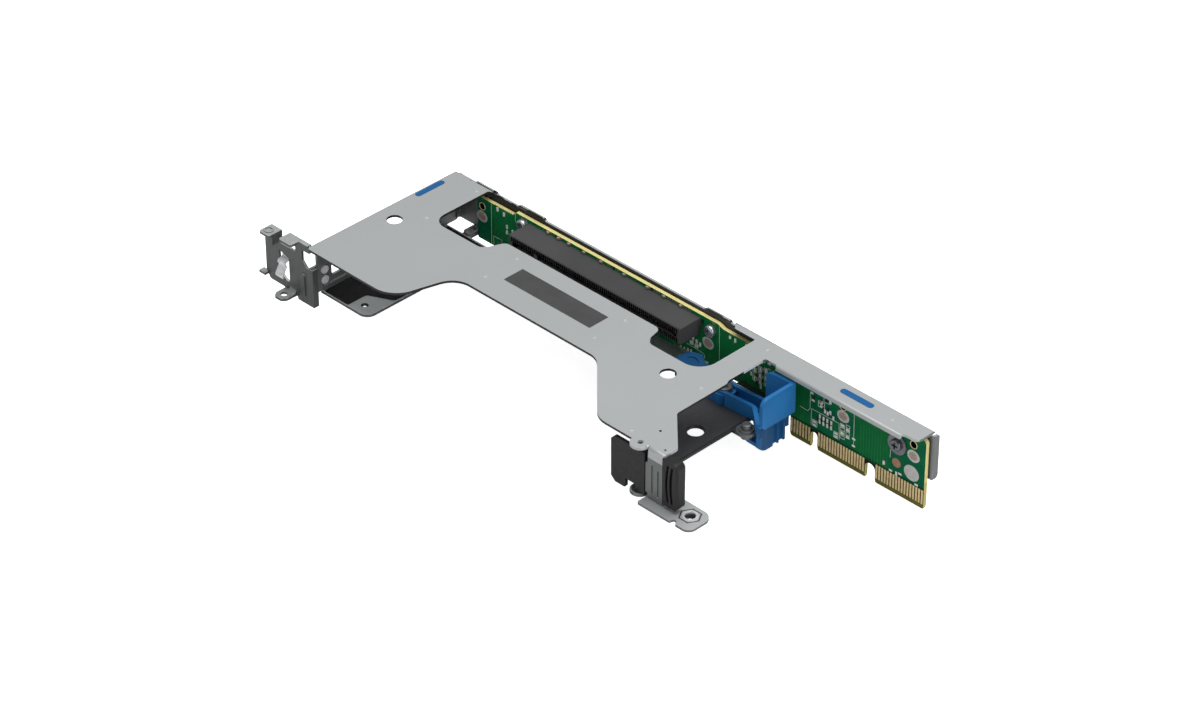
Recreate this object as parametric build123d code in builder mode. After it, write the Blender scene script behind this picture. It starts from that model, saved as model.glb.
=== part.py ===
from build123d import *
import math
import os

os.makedirs("parts", exist_ok=True)

# A server riser: a folded steel cage carries an upright riser board with one card slot and an
# edge connector that plugs in downwards. A base plate closes the card bay from below, a bracket
# holds the card's slot cover at the rear, a blue lever lets the riser go.
# Millimetres, Z up, X along the board, Y towards the back. The origin is the key slot of the
# connector, in the middle of the board's thickness, at the lower edge of the contacts.
# All positions below are measured from the cage: X from its left wall, Y from the plate's
# back left corner, Z from the plate's upper face.

# Heights and the place of the cage over the connector
key_x = 187.6
contact_depth = 33.6

# Sheet metal of the cage, the base and the bracket
sheet = 1.0
bay = 20.6
fold = 1.2
base_top = -sheet - bay
base_under = base_top - sheet

# The board, the gap to the rear wall and the two insulating films
board_front = -1.2
board_thick = 1.6
board_gap = 0.6
film = 0.3
board_back = board_front + board_thick
wall_front = board_back + board_gap
wall_back = wall_front + sheet
film_top = base_top + film
wall_bottom = base_top + 0.9
cage_right = 241.2

cage_left = -key_x
cage_back = -(board_front + board_back) / 2
plate_top = contact_depth

# Fits
screw_play = 0.05
latch_play = 0.05
latch_lift = 0.1
board_hole_play = 0.2

# The lever and its pivot
pivot = (156.0, -14.5)
shoulder_r = 2.0
shoulder_top = base_top + 5.1
pivot_head_r = 2.8
pivot_thread_r = 1.45
latch_floor = 1.2
latch_bottom = film_top + latch_lift
channel_top = base_top + 6.2
lobe_top = base_top + 7.6
paddle_bottom = base_top + 6.3
flare_bottom = base_top + 1.8
paddle_top = -2.7
latch_wall = 1.5
hook_bottom = base_under - 3.6

# The shoulder pin beside the lever
pin = (174.5, -22.7)
pin_flange_r = 3.9
pin_shank_r = 2.1
pin_bottom = base_under - 1.6

# The card slot
slot_left = 41.7
slot_right = 130.9
slot_top = -4.0
slot_low = -10.8
slot_depth = 10.9
slot_mid = (slot_top + slot_low) / 2
slot_gap = 1.8
slot_face = board_front - slot_depth
cavity_depth = 9.5
slot_pitch = 1.0
slot_count = 82

# Screws through the board
screw_spots = [(38.3, -6.1), (136.3, -6.9)]
end_screw = (227.0, -11.2)
screw_r = 1.25
screw_head_r = 2.4
end_head_r = 4.2
standoff_r = 2.75
standoff_neck_r = 2.2

# Board outline and fingers of the edge connector: left and right sides, number of contacts
board_top_left = -4.4
board_top_middle = -2.7
board_top_right = -3.8
board_right = 239.8
chip_row = board_top_middle - 0.65
finger_blocks = [(176.0, 186.0), (189.3, 212.1), (216.9, board_right)]
finger_count = [7, 17, 17]
contact_thick = 0.1
contact_width = 0.85

# Clinch nut in the foot
nut_spot = (195.2, -73.1)
nut_hole_r = 2.05
nut_ring_r = 3.15

# The rear bracket stands in front of the cage
bracket_front = -74.0
bracket_back = bracket_front + sheet
rivet_spots = [(-68.0, -12.8), (-68.0, -17.2)]
rivet_r = 1.0
dot_sphere = 2.0
dot_depth = 0.15
dot_spots = [
    (16.4, -30.2),
    (16.4, -4.3),
    (60.9, -42.1),
    (60.7, -25.9),
    (117.2, -41.9),
    (117.1, -26.1),
    (166.1, -37.5),
    (166.5, -3.6),
    (166.6, -72.9),
    (226.6, -4.1),
]
rivet_head_r = 1.7


def level(z):
    """Level plane at a height, in cage coordinates."""
    return Plane(origin=(cage_left, cage_back, plate_top + z))


def front(y):
    """Upright plane that faces the front: X to the right, Z up."""
    return Plane(
        origin=(cage_left, cage_back + y, plate_top), x_dir=(1, 0, 0), z_dir=(0, -1, 0)
    )


def side(x):
    """Upright plane that faces right: Y along it, Z up."""
    return Plane(
        origin=(cage_left + x, cage_back, plate_top), x_dir=(0, 1, 0), z_dir=(1, 0, 0)
    )


def outline(*corners):
    """Closed outline through corners given as x, y and the rounding there."""
    ends = []
    for i, (x, y, r) in enumerate(corners):
        here = Vector(x, y)
        back = Vector(*corners[i - 1][:2]) - here
        ahead = Vector(*corners[(i + 1) % len(corners)][:2]) - here
        half = math.radians(back.get_angle(ahead)) / 2
        reach = min(r / math.tan(half), 0.48 * back.length, 0.48 * ahead.length)
        start = here + back.normalized() * reach
        end = here + ahead.normalized() * reach
        if reach > 0:
            inward = (back.normalized() + ahead.normalized()).normalized()
            dip = reach / math.cos(half) - reach * math.tan(half)
            ThreePointArc(start, here + inward * dip, end)
        ends.append((start, end))
    for i, (start, end) in enumerate(ends):
        Line(ends[i - 1][1], start)


def corner(a, b, da, db):
    """Outline of the sharp corner that a rounding takes away."""
    near = 1 - 0.5**0.5
    Line((a, b), (a + da, b))
    ThreePointArc((a + da, b), (a + near * da, b + near * db), (a, b + db))
    Line((a, b + db), (a, b))


def block(x, y, z, mode=Mode.ADD):
    """A block over three spans."""
    middle = (
        cage_left + (x[0] + x[1]) / 2,
        cage_back + (y[0] + y[1]) / 2,
        plate_top + (z[0] + z[1]) / 2,
    )
    with Locations(middle):
        Box(x[1] - x[0], y[1] - y[0], z[1] - z[0], mode=mode)


def edges_at(body, along, **at):
    """Edges along an axis whose middle lies at the given cage coordinates."""
    zero = {"x": cage_left, "y": cage_back, "z": plate_top}
    found = body.edges().filter_by(along)
    for name, value in at.items():
        wanted = zero[name] + value
        found = [e for e in found if abs(getattr(e.center(), name.upper()) - wanted) < 0.02]
    return found


# The cage: top plate, rear wall, left wall and front column from one sheet
with BuildPart() as cage:
    with BuildSketch(level(0)):
        with BuildLine():
            outline(
                (-0.6, 0, 0),
                (-0.6, -73.9, 0.4),
                (1.0, -75.8, 0.4),
                (45.8, -75.8, 11),
                (53.4, -49.9, 9),
                (126.3, -49.9, 9),
                (152.2, -75.8, 10),
                (169.4, -75.8, 0.3),
                (169.4, -74.6, 0),
                (177.0, -74.6, 0),
                (177.6, -76.1, 0),
                (184.4, -76.1, 0),
                (185.0, -75.2, 0.4),
                (185.0, -69.0, 2),
                (170.25, -54.3, 3),
                (170.25, -29.0, 0.5),
                (169.3, -27.0, 0.5),
                (169.3, -8.0, 0.5),
                (174.6, -8.0, 0),
                (175.2, -9.0, 0),
                (234.0, -9.0, 0),
                (234.2, -7.8, 0),
                (235.4, -7.3, 0),
                (241.0, -7.3, 3.5),
                (241.0, wall_back, 0),
                (146.1, wall_back, 0),
                (146.1, 0.9, 0),
                (148.5, -1.9, 1),
                (158.5, -1.9, 0.6),
                (158.5, -30.4, 8),
                (133.4, -30.4, 3),
                (131.0, -27.4, 2.5),
                (129.6, -21.0, 3),
                (49.6, -21.0, 3),
                (46.9, -27.4, 3),
                (44.8, -30.0, 2.5),
                (19.2, -30.0, 6),
                (19.2, -1.3, 0.5),
                (20.4, -0.6, 0),
                (20.4, wall_back, 0),
                (11.0, wall_back, 0),
                (11.0, 0.2, 0.3),
                (9.0, -0.8, 0.3),
                (8.0, 0, 0),
            )
        make_face()
        with Locations((173.1, -75.4)):
            Circle(3.8)
    extrude(amount=-sheet)
    # rear wall, with two ears above the open window
    with BuildSketch(front(wall_back)):
        with BuildLine():
            outline(
                (0.6, wall_bottom, 0.5),
                (0.6, -1.4, 0.5),
                (11.0, -1.4, 0),
                (11.0, 0, 0),
                (20.4, 0, 0),
                (22.4, -1.5, 0.8),
                (33.0, -1.5, 0.6),
                (34.0, -0.5, 0.4),
                (47.0, -0.5, 0.8),
                (48.4, -1.5, 0.6),
                (130.4, -1.5, 0.6),
                (131.6, -0.5, 0.6),
                (143.2, -0.5, 0.4),
                (144.2, -1.5, 0.6),
                (146.1, -1.5, 0),
                (146.1, 0, 0),
                (238.6, 0, 0),
                (238.6, -2.5, 0),
                (cage_right, -2.5, 1),
                (cage_right, wall_bottom - 0.5, 2),
                (13.4, wall_bottom - 0.5, 0.5),
                (12.0, wall_bottom, 0),
            )
        make_face()
    extrude(amount=sheet)
    # the wall's end stands back, and its lower left corner carries a foot on the base plate
    with BuildSketch(side(cage_right - sheet)):
        with BuildLine():
            outline(
                (wall_front, -2.5, 0),
                (4.2, -2.5, 1.2),
                (4.2, wall_bottom - 0.5, 1.6),
                (wall_front, wall_bottom - 0.5, 0),
            )
        make_face()
    extrude(amount=sheet)
    with BuildSketch(level(base_top)):
        with BuildLine():
            outline(
                (8.8, wall_back, 0),
                (8.8, -5.5, 1.5),
                (13.0, -5.5, 1.5),
                (13.0, wall_back, 0),
            )
        make_face()
        with Locations((10.9, -1.4)):
            Circle(1.1, mode=Mode.SUBTRACT)
    extrude(amount=sheet)
    # left wall with the opening for the card's sockets
    block((-0.6, 0.4), (-71.4, 0), (base_top, -0.5))
    with BuildSketch(side(-0.6)):
        with BuildLine():
            outline((-64.5, -17, 1.5), (-64.5, -4, 1.5), (-10, -4, 1.5), (-10, -17, 1.5))
        make_face()
        with Locations(*rivet_spots):
            Circle(rivet_r)
    extrude(amount=sheet, mode=Mode.SUBTRACT)
    # front column, a little wider over its middle
    with BuildSketch(front(-76.1 + sheet)):
        with BuildLine():
            outline(
                (177.6, 0, 0),
                (184.4, 0, 0),
                (184.4, base_top, 0),
                (177.3, base_top, 0),
                (177.3, -19.4, 0.2),
                (176.3, -19.0, 0.4),
                (176.3, -6.6, 0.4),
                (177.3, -6.2, 0.2),
            )
        make_face()
    extrude(amount=sheet)
    # lip folded down along the rail
    block((175.2, 234.0), (-9.0, -8.0), (-1.8, -0.5))
    # rounded folds
    with BuildSketch(side(11.0)):
        with BuildLine():
            corner(wall_back, 0, -fold, -fold)
        make_face()
    extrude(amount=12.0, mode=Mode.SUBTRACT)
    with BuildSketch(side(146.1)):
        with BuildLine():
            corner(wall_back, 0, -fold, -fold)
        make_face()
    extrude(amount=95.0, mode=Mode.SUBTRACT)
    with BuildSketch(side(176.0)):
        with BuildLine():
            corner(-76.1, 0, fold, -fold)
        make_face()
    extrude(amount=9.0, mode=Mode.SUBTRACT)
    with BuildSketch(side(174.6)):
        with BuildLine():
            corner(-9.0, 0, 0.7, -0.7)
        make_face()
    extrude(amount=60.0, mode=Mode.SUBTRACT)
    with BuildSketch(front(0)):
        with BuildLine():
            corner(-0.6, 0, fold, -fold)
        make_face()
    extrude(amount=74.0, mode=Mode.SUBTRACT)
    with BuildSketch(level(-22.0)):
        with BuildLine():
            corner(cage_right, wall_front, -0.9, 0.9)
        make_face()
    extrude(amount=20.0, mode=Mode.SUBTRACT)
    # round holes through the plate
    with BuildSketch(level(0)):
        with Locations((8.6, -39.5), (151.15, -39.1)):
            Circle(3.1)
        with Locations((173.1, -75.4)):
            Circle(1.15)
        with Locations((173.5, -65.9), (182.6, -72.9)):
            Circle(0.5)
    extrude(amount=-sheet, mode=Mode.SUBTRACT)
    # shallow round tooling dots
    with Locations(
        *[
            (cage_left + x, cage_back + y, plate_top + dot_sphere - dot_depth)
            for x, y in dot_spots
        ]
    ):
        Sphere(dot_sphere, mode=Mode.SUBTRACT)
    # narrow groove between the plate and the ear of the rear wall
    block((11.6, 20.6), (-0.2, 0.5), (-0.5, 0.1), mode=Mode.SUBTRACT)
    # stiffening grooves down the column
    with BuildSketch(front(-76.1)):
        with Locations((179.6, -12.6)):
            SlotOverall(12.5, 0.9, rotation=90)
        with Locations((182.4, -13.4)):
            SlotOverall(11.5, 0.7, rotation=90)
    extrude(amount=-0.35, mode=Mode.SUBTRACT)
    # holes for the board's standoffs
    with BuildSketch(front(wall_back)):
        with Locations(*screw_spots, end_screw):
            Circle(standoff_neck_r + screw_play)
    extrude(amount=sheet, mode=Mode.SUBTRACT)

# Base plate below the card bay, with the foot at its front right end
with BuildPart() as base_plate:
    with BuildSketch(level(base_top)):
        with BuildLine():
            outline(
                (-0.6, -5.4, 0.5),
                (-0.6, -69.9, 1),
                (25.6, -69.9, 4),
                (25.6, -28.0, 6),
                (124.0, -28.0, 8),
                (166.0, -70.0, 2),
                (168.6, -73.6, 0),
                (175.6, -74.2, 0.2),
                (176.3, -76.0, 0.4),
                (176.3, -80.3, 0.8),
                (192.0, -80.3, 0.5),
                (192.6, -78.5, 0.4),
                (194.0, -78.5, 0.4),
                (194.6, -80.3, 1),
                (201.5, -80.3, 4.5),
                (201.5, -67.6, 4.5),
                (184.6, -67.6, 1),
                (170.4, -53.4, 2),
                (170.4, -3.4, 1),
                (98.0, -3.4, 2),
                (95.0, -5.4, 2),
                (13.0, -5.4, 0.5),
                (13.0, 0.8, 0.5),
                (8.8, 0.8, 0.5),
                (8.8, -5.4, 0.5),
            )
        make_face()
        with Locations((171.7, -74.0)):
            Circle(3.7)
        with Locations(pin):
            Circle(3.3)
        with Locations((171.5, -22.7)):
            Rectangle(6.0, 6.6)
        with Locations((134.0, -16.0)):
            RectangleRounded(24.0, 8.0, 2.0, mode=Mode.SUBTRACT)
        with Locations((19.0, -65.0)):
            Circle(1.45, mode=Mode.SUBTRACT)
        with Locations((161.7, -35.65)):
            Circle(3.15, mode=Mode.SUBTRACT)
        with Locations((10.9, -1.4)):
            Circle(1.1, mode=Mode.SUBTRACT)
        with Locations(nut_spot):
            Circle(nut_ring_r + screw_play, mode=Mode.SUBTRACT)
        with Locations(pin):
            Circle(pin_shank_r + screw_play, mode=Mode.SUBTRACT)
        with Locations(pivot):
            Circle(pivot_thread_r + screw_play, mode=Mode.SUBTRACT)
    extrude(amount=-sheet)
    # low flange inside the left wall
    block((0.4, 1.4), (-69.0, -7.5), (base_top - 0.2, -19.2))

# Black film on the base plate
with BuildPart() as base_film:
    with BuildSketch(level(base_top)):
        with BuildLine():
            outline(
                (1.6, -6.4, 0.5),
                (1.6, -69.3, 0.5),
                (14.4, -69.3, 0.5),
                (14.4, -60.0, 2),
                (24.8, -55.0, 2),
                (24.8, -27.2, 6),
                (124.4, -27.2, 8),
                (166.6, -69.4, 2),
                (169.2, -73.4, 0.5),
                (175.0, -73.4, 0.5),
                (175.0, -59.4, 2),
                (169.6, -54.0, 2),
                (169.6, -7.8, 1),
                (146.8, -7.8, 2),
                (146.8, -20.8, 2),
                (121.2, -20.8, 2),
                (121.2, -8.8, 2),
                (98.0, -8.8, 2),
                (94.0, -6.4, 2),
            )
        make_face()
        with Locations((171.7, -73.8)):
            Circle(3.2)
        with Locations((161.7, -35.65)):
            Circle(3.5, mode=Mode.SUBTRACT)
        with Locations(pivot):
            Circle(shoulder_r + 0.5, mode=Mode.SUBTRACT)
    extrude(amount=film)

# Black film on the rear wall, behind the board
with BuildPart() as rear_film:
    with BuildSketch(front(wall_front)):
        with BuildLine():
            outline(
                (14.4, -20.4, 1),
                (14.4, -1.9, 0.4),
                (21.6, -1.9, 0),
                (22.4, -1.1, 0.3),
                (25.2, -1.1, 0.3),
                (26.2, -1.8, 0.3),
                (29.4, -1.8, 0),
                (30.0, -1.2, 0.2),
                (32.2, -1.2, 0.2),
                (32.6, -1.8, 0),
                (37.6, -1.8, 0.3),
                (38.8, -0.2, 0.8),
                (46.4, -0.2, 1),
                (48.6, -1.8, 0.6),
                (131.0, -1.8, 0.6),
                (132.6, -0.1, 1),
                (139.6, -0.1, 1),
                (142.0, -1.8, 0.8),
                (238.0, -1.8, 1),
                (238.0, -20.4, 1),
            )
        make_face()
        with Locations(*screw_spots, end_screw):
            Circle(standoff_r + 0.4, mode=Mode.SUBTRACT)
    extrude(amount=film)

# The riser board with its two key slots and bevelled contact edge
with BuildPart() as riser_board:
    with BuildSketch(front(board_back)):
        with BuildLine():
            outline(
                (13.3, -23.2, 0.6),
                (13.3, board_top_left, 0.6),
                (32.6, board_top_left, 0.5),
                (34.4, board_top_middle, 0.5),
                (139.4, board_top_middle, 2),
                (142.4, board_top_right, 2),
                (board_right, board_top_right, 1.6),
                (board_right, -contact_depth, 1.2),
                (216.9, -contact_depth, 0.4),
                (216.9, -26.4, 2.3),
                (212.1, -26.4, 2.3),
                (212.1, -contact_depth, 0.4),
                (189.25, -contact_depth, 0.4),
                (189.25, -26.4, 1.6),
                (185.95, -26.4, 1.6),
                (185.95, -contact_depth, 0.4),
                (176.0, -contact_depth, 0.8),
                (176.0, -23.2, 0.8),
            )
        make_face()
        with Locations((15.9, -8.2), (200.8, -8.5), (234.1, -8.1)):
            Circle(1.3, mode=Mode.SUBTRACT)
        with Locations(*screw_spots, end_screw):
            Circle(screw_r + board_hole_play, mode=Mode.SUBTRACT)
    extrude(amount=board_thick)
    with BuildSketch(side(175.0)):
        with BuildLine():
            Polyline(
                (board_front, -31.7),
                (board_front, -contact_depth),
                (board_front + 0.45, -contact_depth),
                close=True,
            )
        make_face()
        with BuildLine():
            Polyline(
                (board_back, -31.7),
                (board_back, -contact_depth),
                (board_back - 0.45, -contact_depth),
                close=True,
            )
        make_face()
    extrude(amount=67.0, mode=Mode.SUBTRACT)

# Gold contacts on both sides of the edge connector
with BuildPart() as contacts_front:
    for (left, right), count in zip(finger_blocks, finger_count):
        pitch = (right - left - 1.5) / (count - 1)
        with BuildSketch(front(board_front)):
            with Locations(((left + right) / 2, -28.3)):
                with GridLocations(pitch, 0, count, 1):
                    Rectangle(contact_width, 6.0)
        extrude(amount=contact_thick)

with BuildPart() as contacts_back:
    for (left, right), count in zip(finger_blocks, finger_count):
        pitch = (right - left - 1.5) / (count - 1)
        with BuildSketch(front(board_back)):
            with Locations(((left + right) / 2, -28.3)):
                with GridLocations(pitch, 0, count, 1):
                    Rectangle(contact_width, 6.0)
        extrude(amount=-contact_thick)

# Housing of the card slot
with BuildPart() as card_slot_housing:
    block((slot_left, slot_right), (slot_face, board_front), (slot_low, slot_top))
    chamfer(edges_at(card_slot_housing, Axis.X, y=slot_face), 0.35)
    with BuildSketch(front(slot_face)):
        with Locations(((slot_left + 1.7 + 55.0) / 2, slot_mid)):
            Rectangle(55.0 - slot_left - 1.7, slot_gap)
        with Locations(((56.7 + slot_right - 1.7) / 2, slot_mid)):
            Rectangle(slot_right - 1.7 - 56.7, slot_gap)
    extrude(amount=-7.5, mode=Mode.SUBTRACT)
    with BuildSketch(front(slot_face)):
        with Locations((86.3, slot_mid + 1.65), (86.3, slot_mid - 1.65)):
            Rectangle(83.0, 1.5)
    extrude(amount=-cavity_depth, mode=Mode.SUBTRACT)

# Its two rows of contacts
with BuildPart() as card_slot_contacts:
    with BuildSketch(front(slot_face + 0.8)):
        with Locations((86.3, slot_mid + 1.2), (86.3, slot_mid - 1.2)):
            with GridLocations(slot_pitch, 0, slot_count, 1):
                Rectangle(0.5, 0.3)
    extrude(amount=-(cavity_depth - 0.8))

# Standoffs pressed into the rear wall, they keep the board off the film
with BuildPart() as board_standoffs:
    with BuildSketch(front(wall_front)):
        with Locations(*screw_spots, end_screw):
            Circle(standoff_r)
    extrude(amount=board_gap)
    with BuildSketch(front(wall_back)):
        with Locations(*screw_spots, end_screw):
            Circle(standoff_neck_r)
    extrude(amount=sheet)
    with BuildSketch(front(wall_back)):
        with Locations(*screw_spots, end_screw):
            Circle(screw_r + screw_play)
    extrude(amount=sheet + board_gap, mode=Mode.SUBTRACT)

# Two pan head screws that hold the board beside the slot
with BuildPart() as board_screws:
    with BuildSketch(front(board_front)):
        with Locations(*screw_spots):
            Circle(screw_head_r)
    extrude(amount=2.0)
    fillet(board_screws.faces().sort_by(Axis.Y)[:2].edges(), 0.9)
    with BuildSketch(front(wall_back)):
        with Locations(*screw_spots):
            Circle(screw_r)
    extrude(amount=wall_back - board_front)
    with BuildSketch(front(board_front - 2.0)):
        with Locations(*screw_spots):
            Rectangle(2.6, 0.7)
            Rectangle(0.7, 2.6)
    extrude(amount=-1.1, mode=Mode.SUBTRACT)

# The larger flat screw at the connector end
with BuildPart() as board_end_screw:
    with BuildSketch(front(board_front)):
        with Locations(end_screw):
            Circle(end_head_r)
    extrude(amount=0.8)
    with BuildSketch(front(board_front - 0.8)):
        with Locations(end_screw):
            Circle(screw_head_r)
    extrude(amount=1.3)
    fillet(board_end_screw.faces().sort_by(Axis.Y)[0].edges(), 0.6)
    with BuildSketch(front(wall_back)):
        with Locations(end_screw):
            Circle(screw_r)
    extrude(amount=wall_back - board_front)
    with BuildSketch(front(board_front - 2.1)):
        with Locations(end_screw):
            Rectangle(2.8, 0.7)
            Rectangle(0.7, 2.8)
    extrude(amount=-1.1, mode=Mode.SUBTRACT)

# Small parts soldered to the front of the board
with BuildPart() as capacitors:
    with BuildSketch(front(board_front)):
        with Locations(
            (52.0, chip_row),
            (57.5, chip_row),
            (63.0, chip_row),
            (71.0, chip_row),
            (80.0, chip_row),
            (92.0, chip_row),
            (104.0, chip_row),
            (112.5, chip_row),
            (121.0, chip_row),
            (168.0, -15.8),
            (190.5, -6.2),
            (190.5, -11.4),
        ):
            Rectangle(1.6, 0.8)
    extrude(amount=0.8)

with BuildPart() as resistors:
    with BuildSketch(front(board_front)):
        with Locations(
            (24.5, -5.6),
            (28.0, -6.4),
            (29.6, -11.2),
            (29.6, -13.6),
            (32.6, -12.2),
            (127.4, -14.6),
            (129.2, -15.2),
            (131.0, -15.8),
            (145.8, -5.2),
            (148.4, -5.6),
            (174.2, -6.0),
            (194.0, -14.8),
            (221.0, -22.4),
        ):
            Rectangle(0.8, 1.6)
    extrude(amount=0.45)

# Bare dark label on the plate and two blue touch marks
with BuildPart() as plate_label:
    with BuildSketch(level(0)):
        with Locations(((66.7 + 111.15) / 2, -33.8)):
            Rectangle(44.45, 9.6)
    extrude(amount=0.12)

with BuildPart() as touch_mark_left:
    with BuildSketch(level(0)):
        with Locations((2.2, -15.35)):
            SlotOverall(14.3, 2.55, rotation=90)
    extrude(amount=0.15)

with BuildPart() as touch_mark_rail:
    with BuildSketch(level(0)):
        with Locations((208.8, -3.05)):
            SlotOverall(15.2, 2.7)
    extrude(amount=0.15)

# Release lever: lobe, open channel, upright thumb paddle and the hook below it
with BuildPart() as release_latch:
    # round lobe at the far end
    with BuildSketch(level(latch_bottom)):
        with BuildLine():
            outline(
                (131.0, -16.6, 3),
                (132.4, -8.6, 4),
                (137.2, -6.6, 1.2),
                (144.8, -11.6, 0.8),
                (145.2, -16.2, 1),
                (138.0, -17.4, 3),
            )
        make_face()
    extrude(amount=lobe_top - latch_bottom)
    fillet(release_latch.faces().sort_by(Axis.Z)[-1].edges(), 0.9)
    with BuildSketch(level(lobe_top)):
        with Locations((138.2, -12.6)):
            Ellipse(3.2, 1.9, rotation=-20)
    extrude(amount=-0.5, mode=Mode.SUBTRACT)
    # channel floor
    with BuildSketch(level(latch_bottom)):
        with BuildLine():
            outline(
                (140.0, -16.4, 1),
                (151.7, -18.2, 2),
                (170.9, -16.8, 2),
                (175.0, -17.6, 0),
                (182.0, -17.6, 0),
                (182.0, -11.0, 0),
                (171.0, -9.8, 2),
                (157.0, -10.8, 6),
                (148.0, -9.4, 3),
                (140.0, -8.0, 1),
            )
        make_face()
        with Locations((168.6, -13.6)):
            SlotOverall(5.6, 2.4, rotation=8, mode=Mode.SUBTRACT)
    extrude(amount=latch_floor)
    # channel walls
    with BuildSketch(level(latch_bottom)):
        with BuildLine():
            outline(
                (142.0, -16.8, 0),
                (151.7, -18.2, 2),
                (170.9, -16.8, 2),
                (172.0, -17.2, 0),
                (172.0, -15.8, 0),
                (170.6, -15.4, 2),
                (152.0, -16.8, 2),
                (142.0, -15.4, 0),
            )
        make_face()
        with BuildLine():
            outline(
                (142.0, -8.4, 0),
                (148.0, -9.4, 3),
                (157.0, -10.8, 6),
                (171.0, -9.8, 2),
                (183.0, -9.8, 0),
                (183.0, -11.2, 0),
                (171.0, -11.2, 2),
                (157.0, -12.2, 5),
                (148.0, -10.8, 3),
                (142.0, -9.8, 0),
            )
        make_face()
    extrude(amount=channel_top - latch_bottom)
    # flare of the front wall, raised over the shoulder pin
    with BuildSketch(level(flare_bottom)):
        with BuildLine():
            outline(
                (170.6, -16.8, 0),
                (172.0, -17.2, 1),
                (179.6, -23.6, 1.5),
                (183.0, -25.2, 0),
                (183.0, -23.4, 0),
                (180.6, -22.4, 1.5),
                (172.9, -15.8, 1),
                (170.8, -15.4, 0),
            )
        make_face()
    extrude(amount=channel_top - flare_bottom)
    # hub around the pivot
    with BuildSketch(level(latch_bottom)):
        with Locations(pivot):
            Circle(4.2)
    extrude(amount=shoulder_top - latch_lift - latch_bottom)
    # paddle: one wall along the right side, one along the back
    with BuildSketch(side(184.5 - latch_wall)):
        with BuildLine():
            outline(
                (-25.4, paddle_bottom, 2),
                (-25.4, paddle_top, 3),
                (-8.3, paddle_top, 0.6),
                (-8.3, paddle_bottom, 0.6),
            )
        make_face()
    extrude(amount=latch_wall)
    with BuildSketch(front(-8.3)):
        with BuildLine():
            outline(
                (171.4, paddle_bottom - 1.1, 0.5),
                (171.4, -4.0, 2),
                (176.0, paddle_top - 0.3, 2),
                (184.5, paddle_top, 0),
                (184.5, paddle_bottom, 0),
                (183.0, paddle_bottom - 1.1, 0),
            )
        make_face()
    extrude(amount=latch_wall)
    # shelf below the paddle and the hook that hangs from it
    block((179.6, 183.6), (-24.0, -9.0), (paddle_bottom - 1.3, paddle_bottom + 0.2))
    with BuildSketch(level(hook_bottom)):
        with BuildLine():
            outline(
                (173.8, -22.6, 0.6),
                (183.0, -23.0, 3),
                (183.0, -11.0, 1),
                (176.0, -11.0, 1),
                (173.8, -15.0, 1),
            )
        make_face()
    extrude(amount=1.4)
    with BuildSketch(level(hook_bottom)):
        with BuildLine():
            outline(
                (179.6, -23.0, 0),
                (183.0, -23.0, 3),
                (183.0, -11.0, 1),
                (176.0, -11.0, 0.5),
                (176.0, -12.4, 0),
                (181.3, -12.4, 0),
                (181.3, -21.4, 1),
                (179.6, -21.4, 0),
            )
        make_face()
    extrude(amount=paddle_bottom - hook_bottom + 0.2)
    # upright pockets in the hook's outer face
    for near in (-18.0, -14.9):
        block(
            (182.1, 183.1),
            (near, near + 2.3),
            (hook_bottom - 0.1, paddle_bottom - 1.9),
            mode=Mode.SUBTRACT,
        )
    # bore for the pivot screw
    with BuildSketch(level(latch_bottom)):
        with Locations(pivot):
            Circle(shoulder_r + latch_play)
    extrude(amount=shoulder_top - latch_bottom, mode=Mode.SUBTRACT)
    with BuildSketch(level(shoulder_top - latch_lift)):
        with Locations(pivot):
            Circle(pivot_head_r + 0.3)
    extrude(amount=3.0, mode=Mode.SUBTRACT)

# Shoulder screw the lever turns on
with BuildPart() as latch_pivot_screw:
    with BuildSketch(level(base_under - 0.6)):
        with Locations(pivot):
            Circle(pivot_thread_r)
    extrude(amount=base_top - base_under + 0.6)
    with BuildSketch(level(base_top)):
        with Locations(pivot):
            Circle(shoulder_r)
    extrude(amount=shoulder_top - base_top)
    with BuildSketch(level(shoulder_top)):
        with Locations(pivot):
            Circle(pivot_head_r)
    extrude(amount=1.5)
    fillet(latch_pivot_screw.faces().sort_by(Axis.Z)[-1].edges(), 0.5)
    with BuildSketch(level(shoulder_top + 1.5)):
        with Locations(pivot):
            Rectangle(2.8, 0.7)
            Rectangle(0.7, 2.8)
    extrude(amount=-0.9, mode=Mode.SUBTRACT)

# Shoulder pin on the base plate's tongue
with BuildPart() as stop_pin:
    with BuildSketch(level(pin_bottom)):
        with Locations(pin):
            Circle(pin_shank_r)
    extrude(amount=base_top - pin_bottom)
    with BuildSketch(level(base_top)):
        with Locations(pin):
            Circle(pin_flange_r)
    extrude(amount=0.7)
    with BuildSketch(level(base_top + 0.7)):
        with Locations(pin):
            Circle(2.9)
    extrude(amount=0.8)
    with BuildSketch(level(base_top + 1.5)):
        with Locations(pin):
            Circle(2.0)
    extrude(amount=1.8)
    fillet(stop_pin.faces().sort_by(Axis.Z)[-1].edges(), 0.8)

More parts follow.
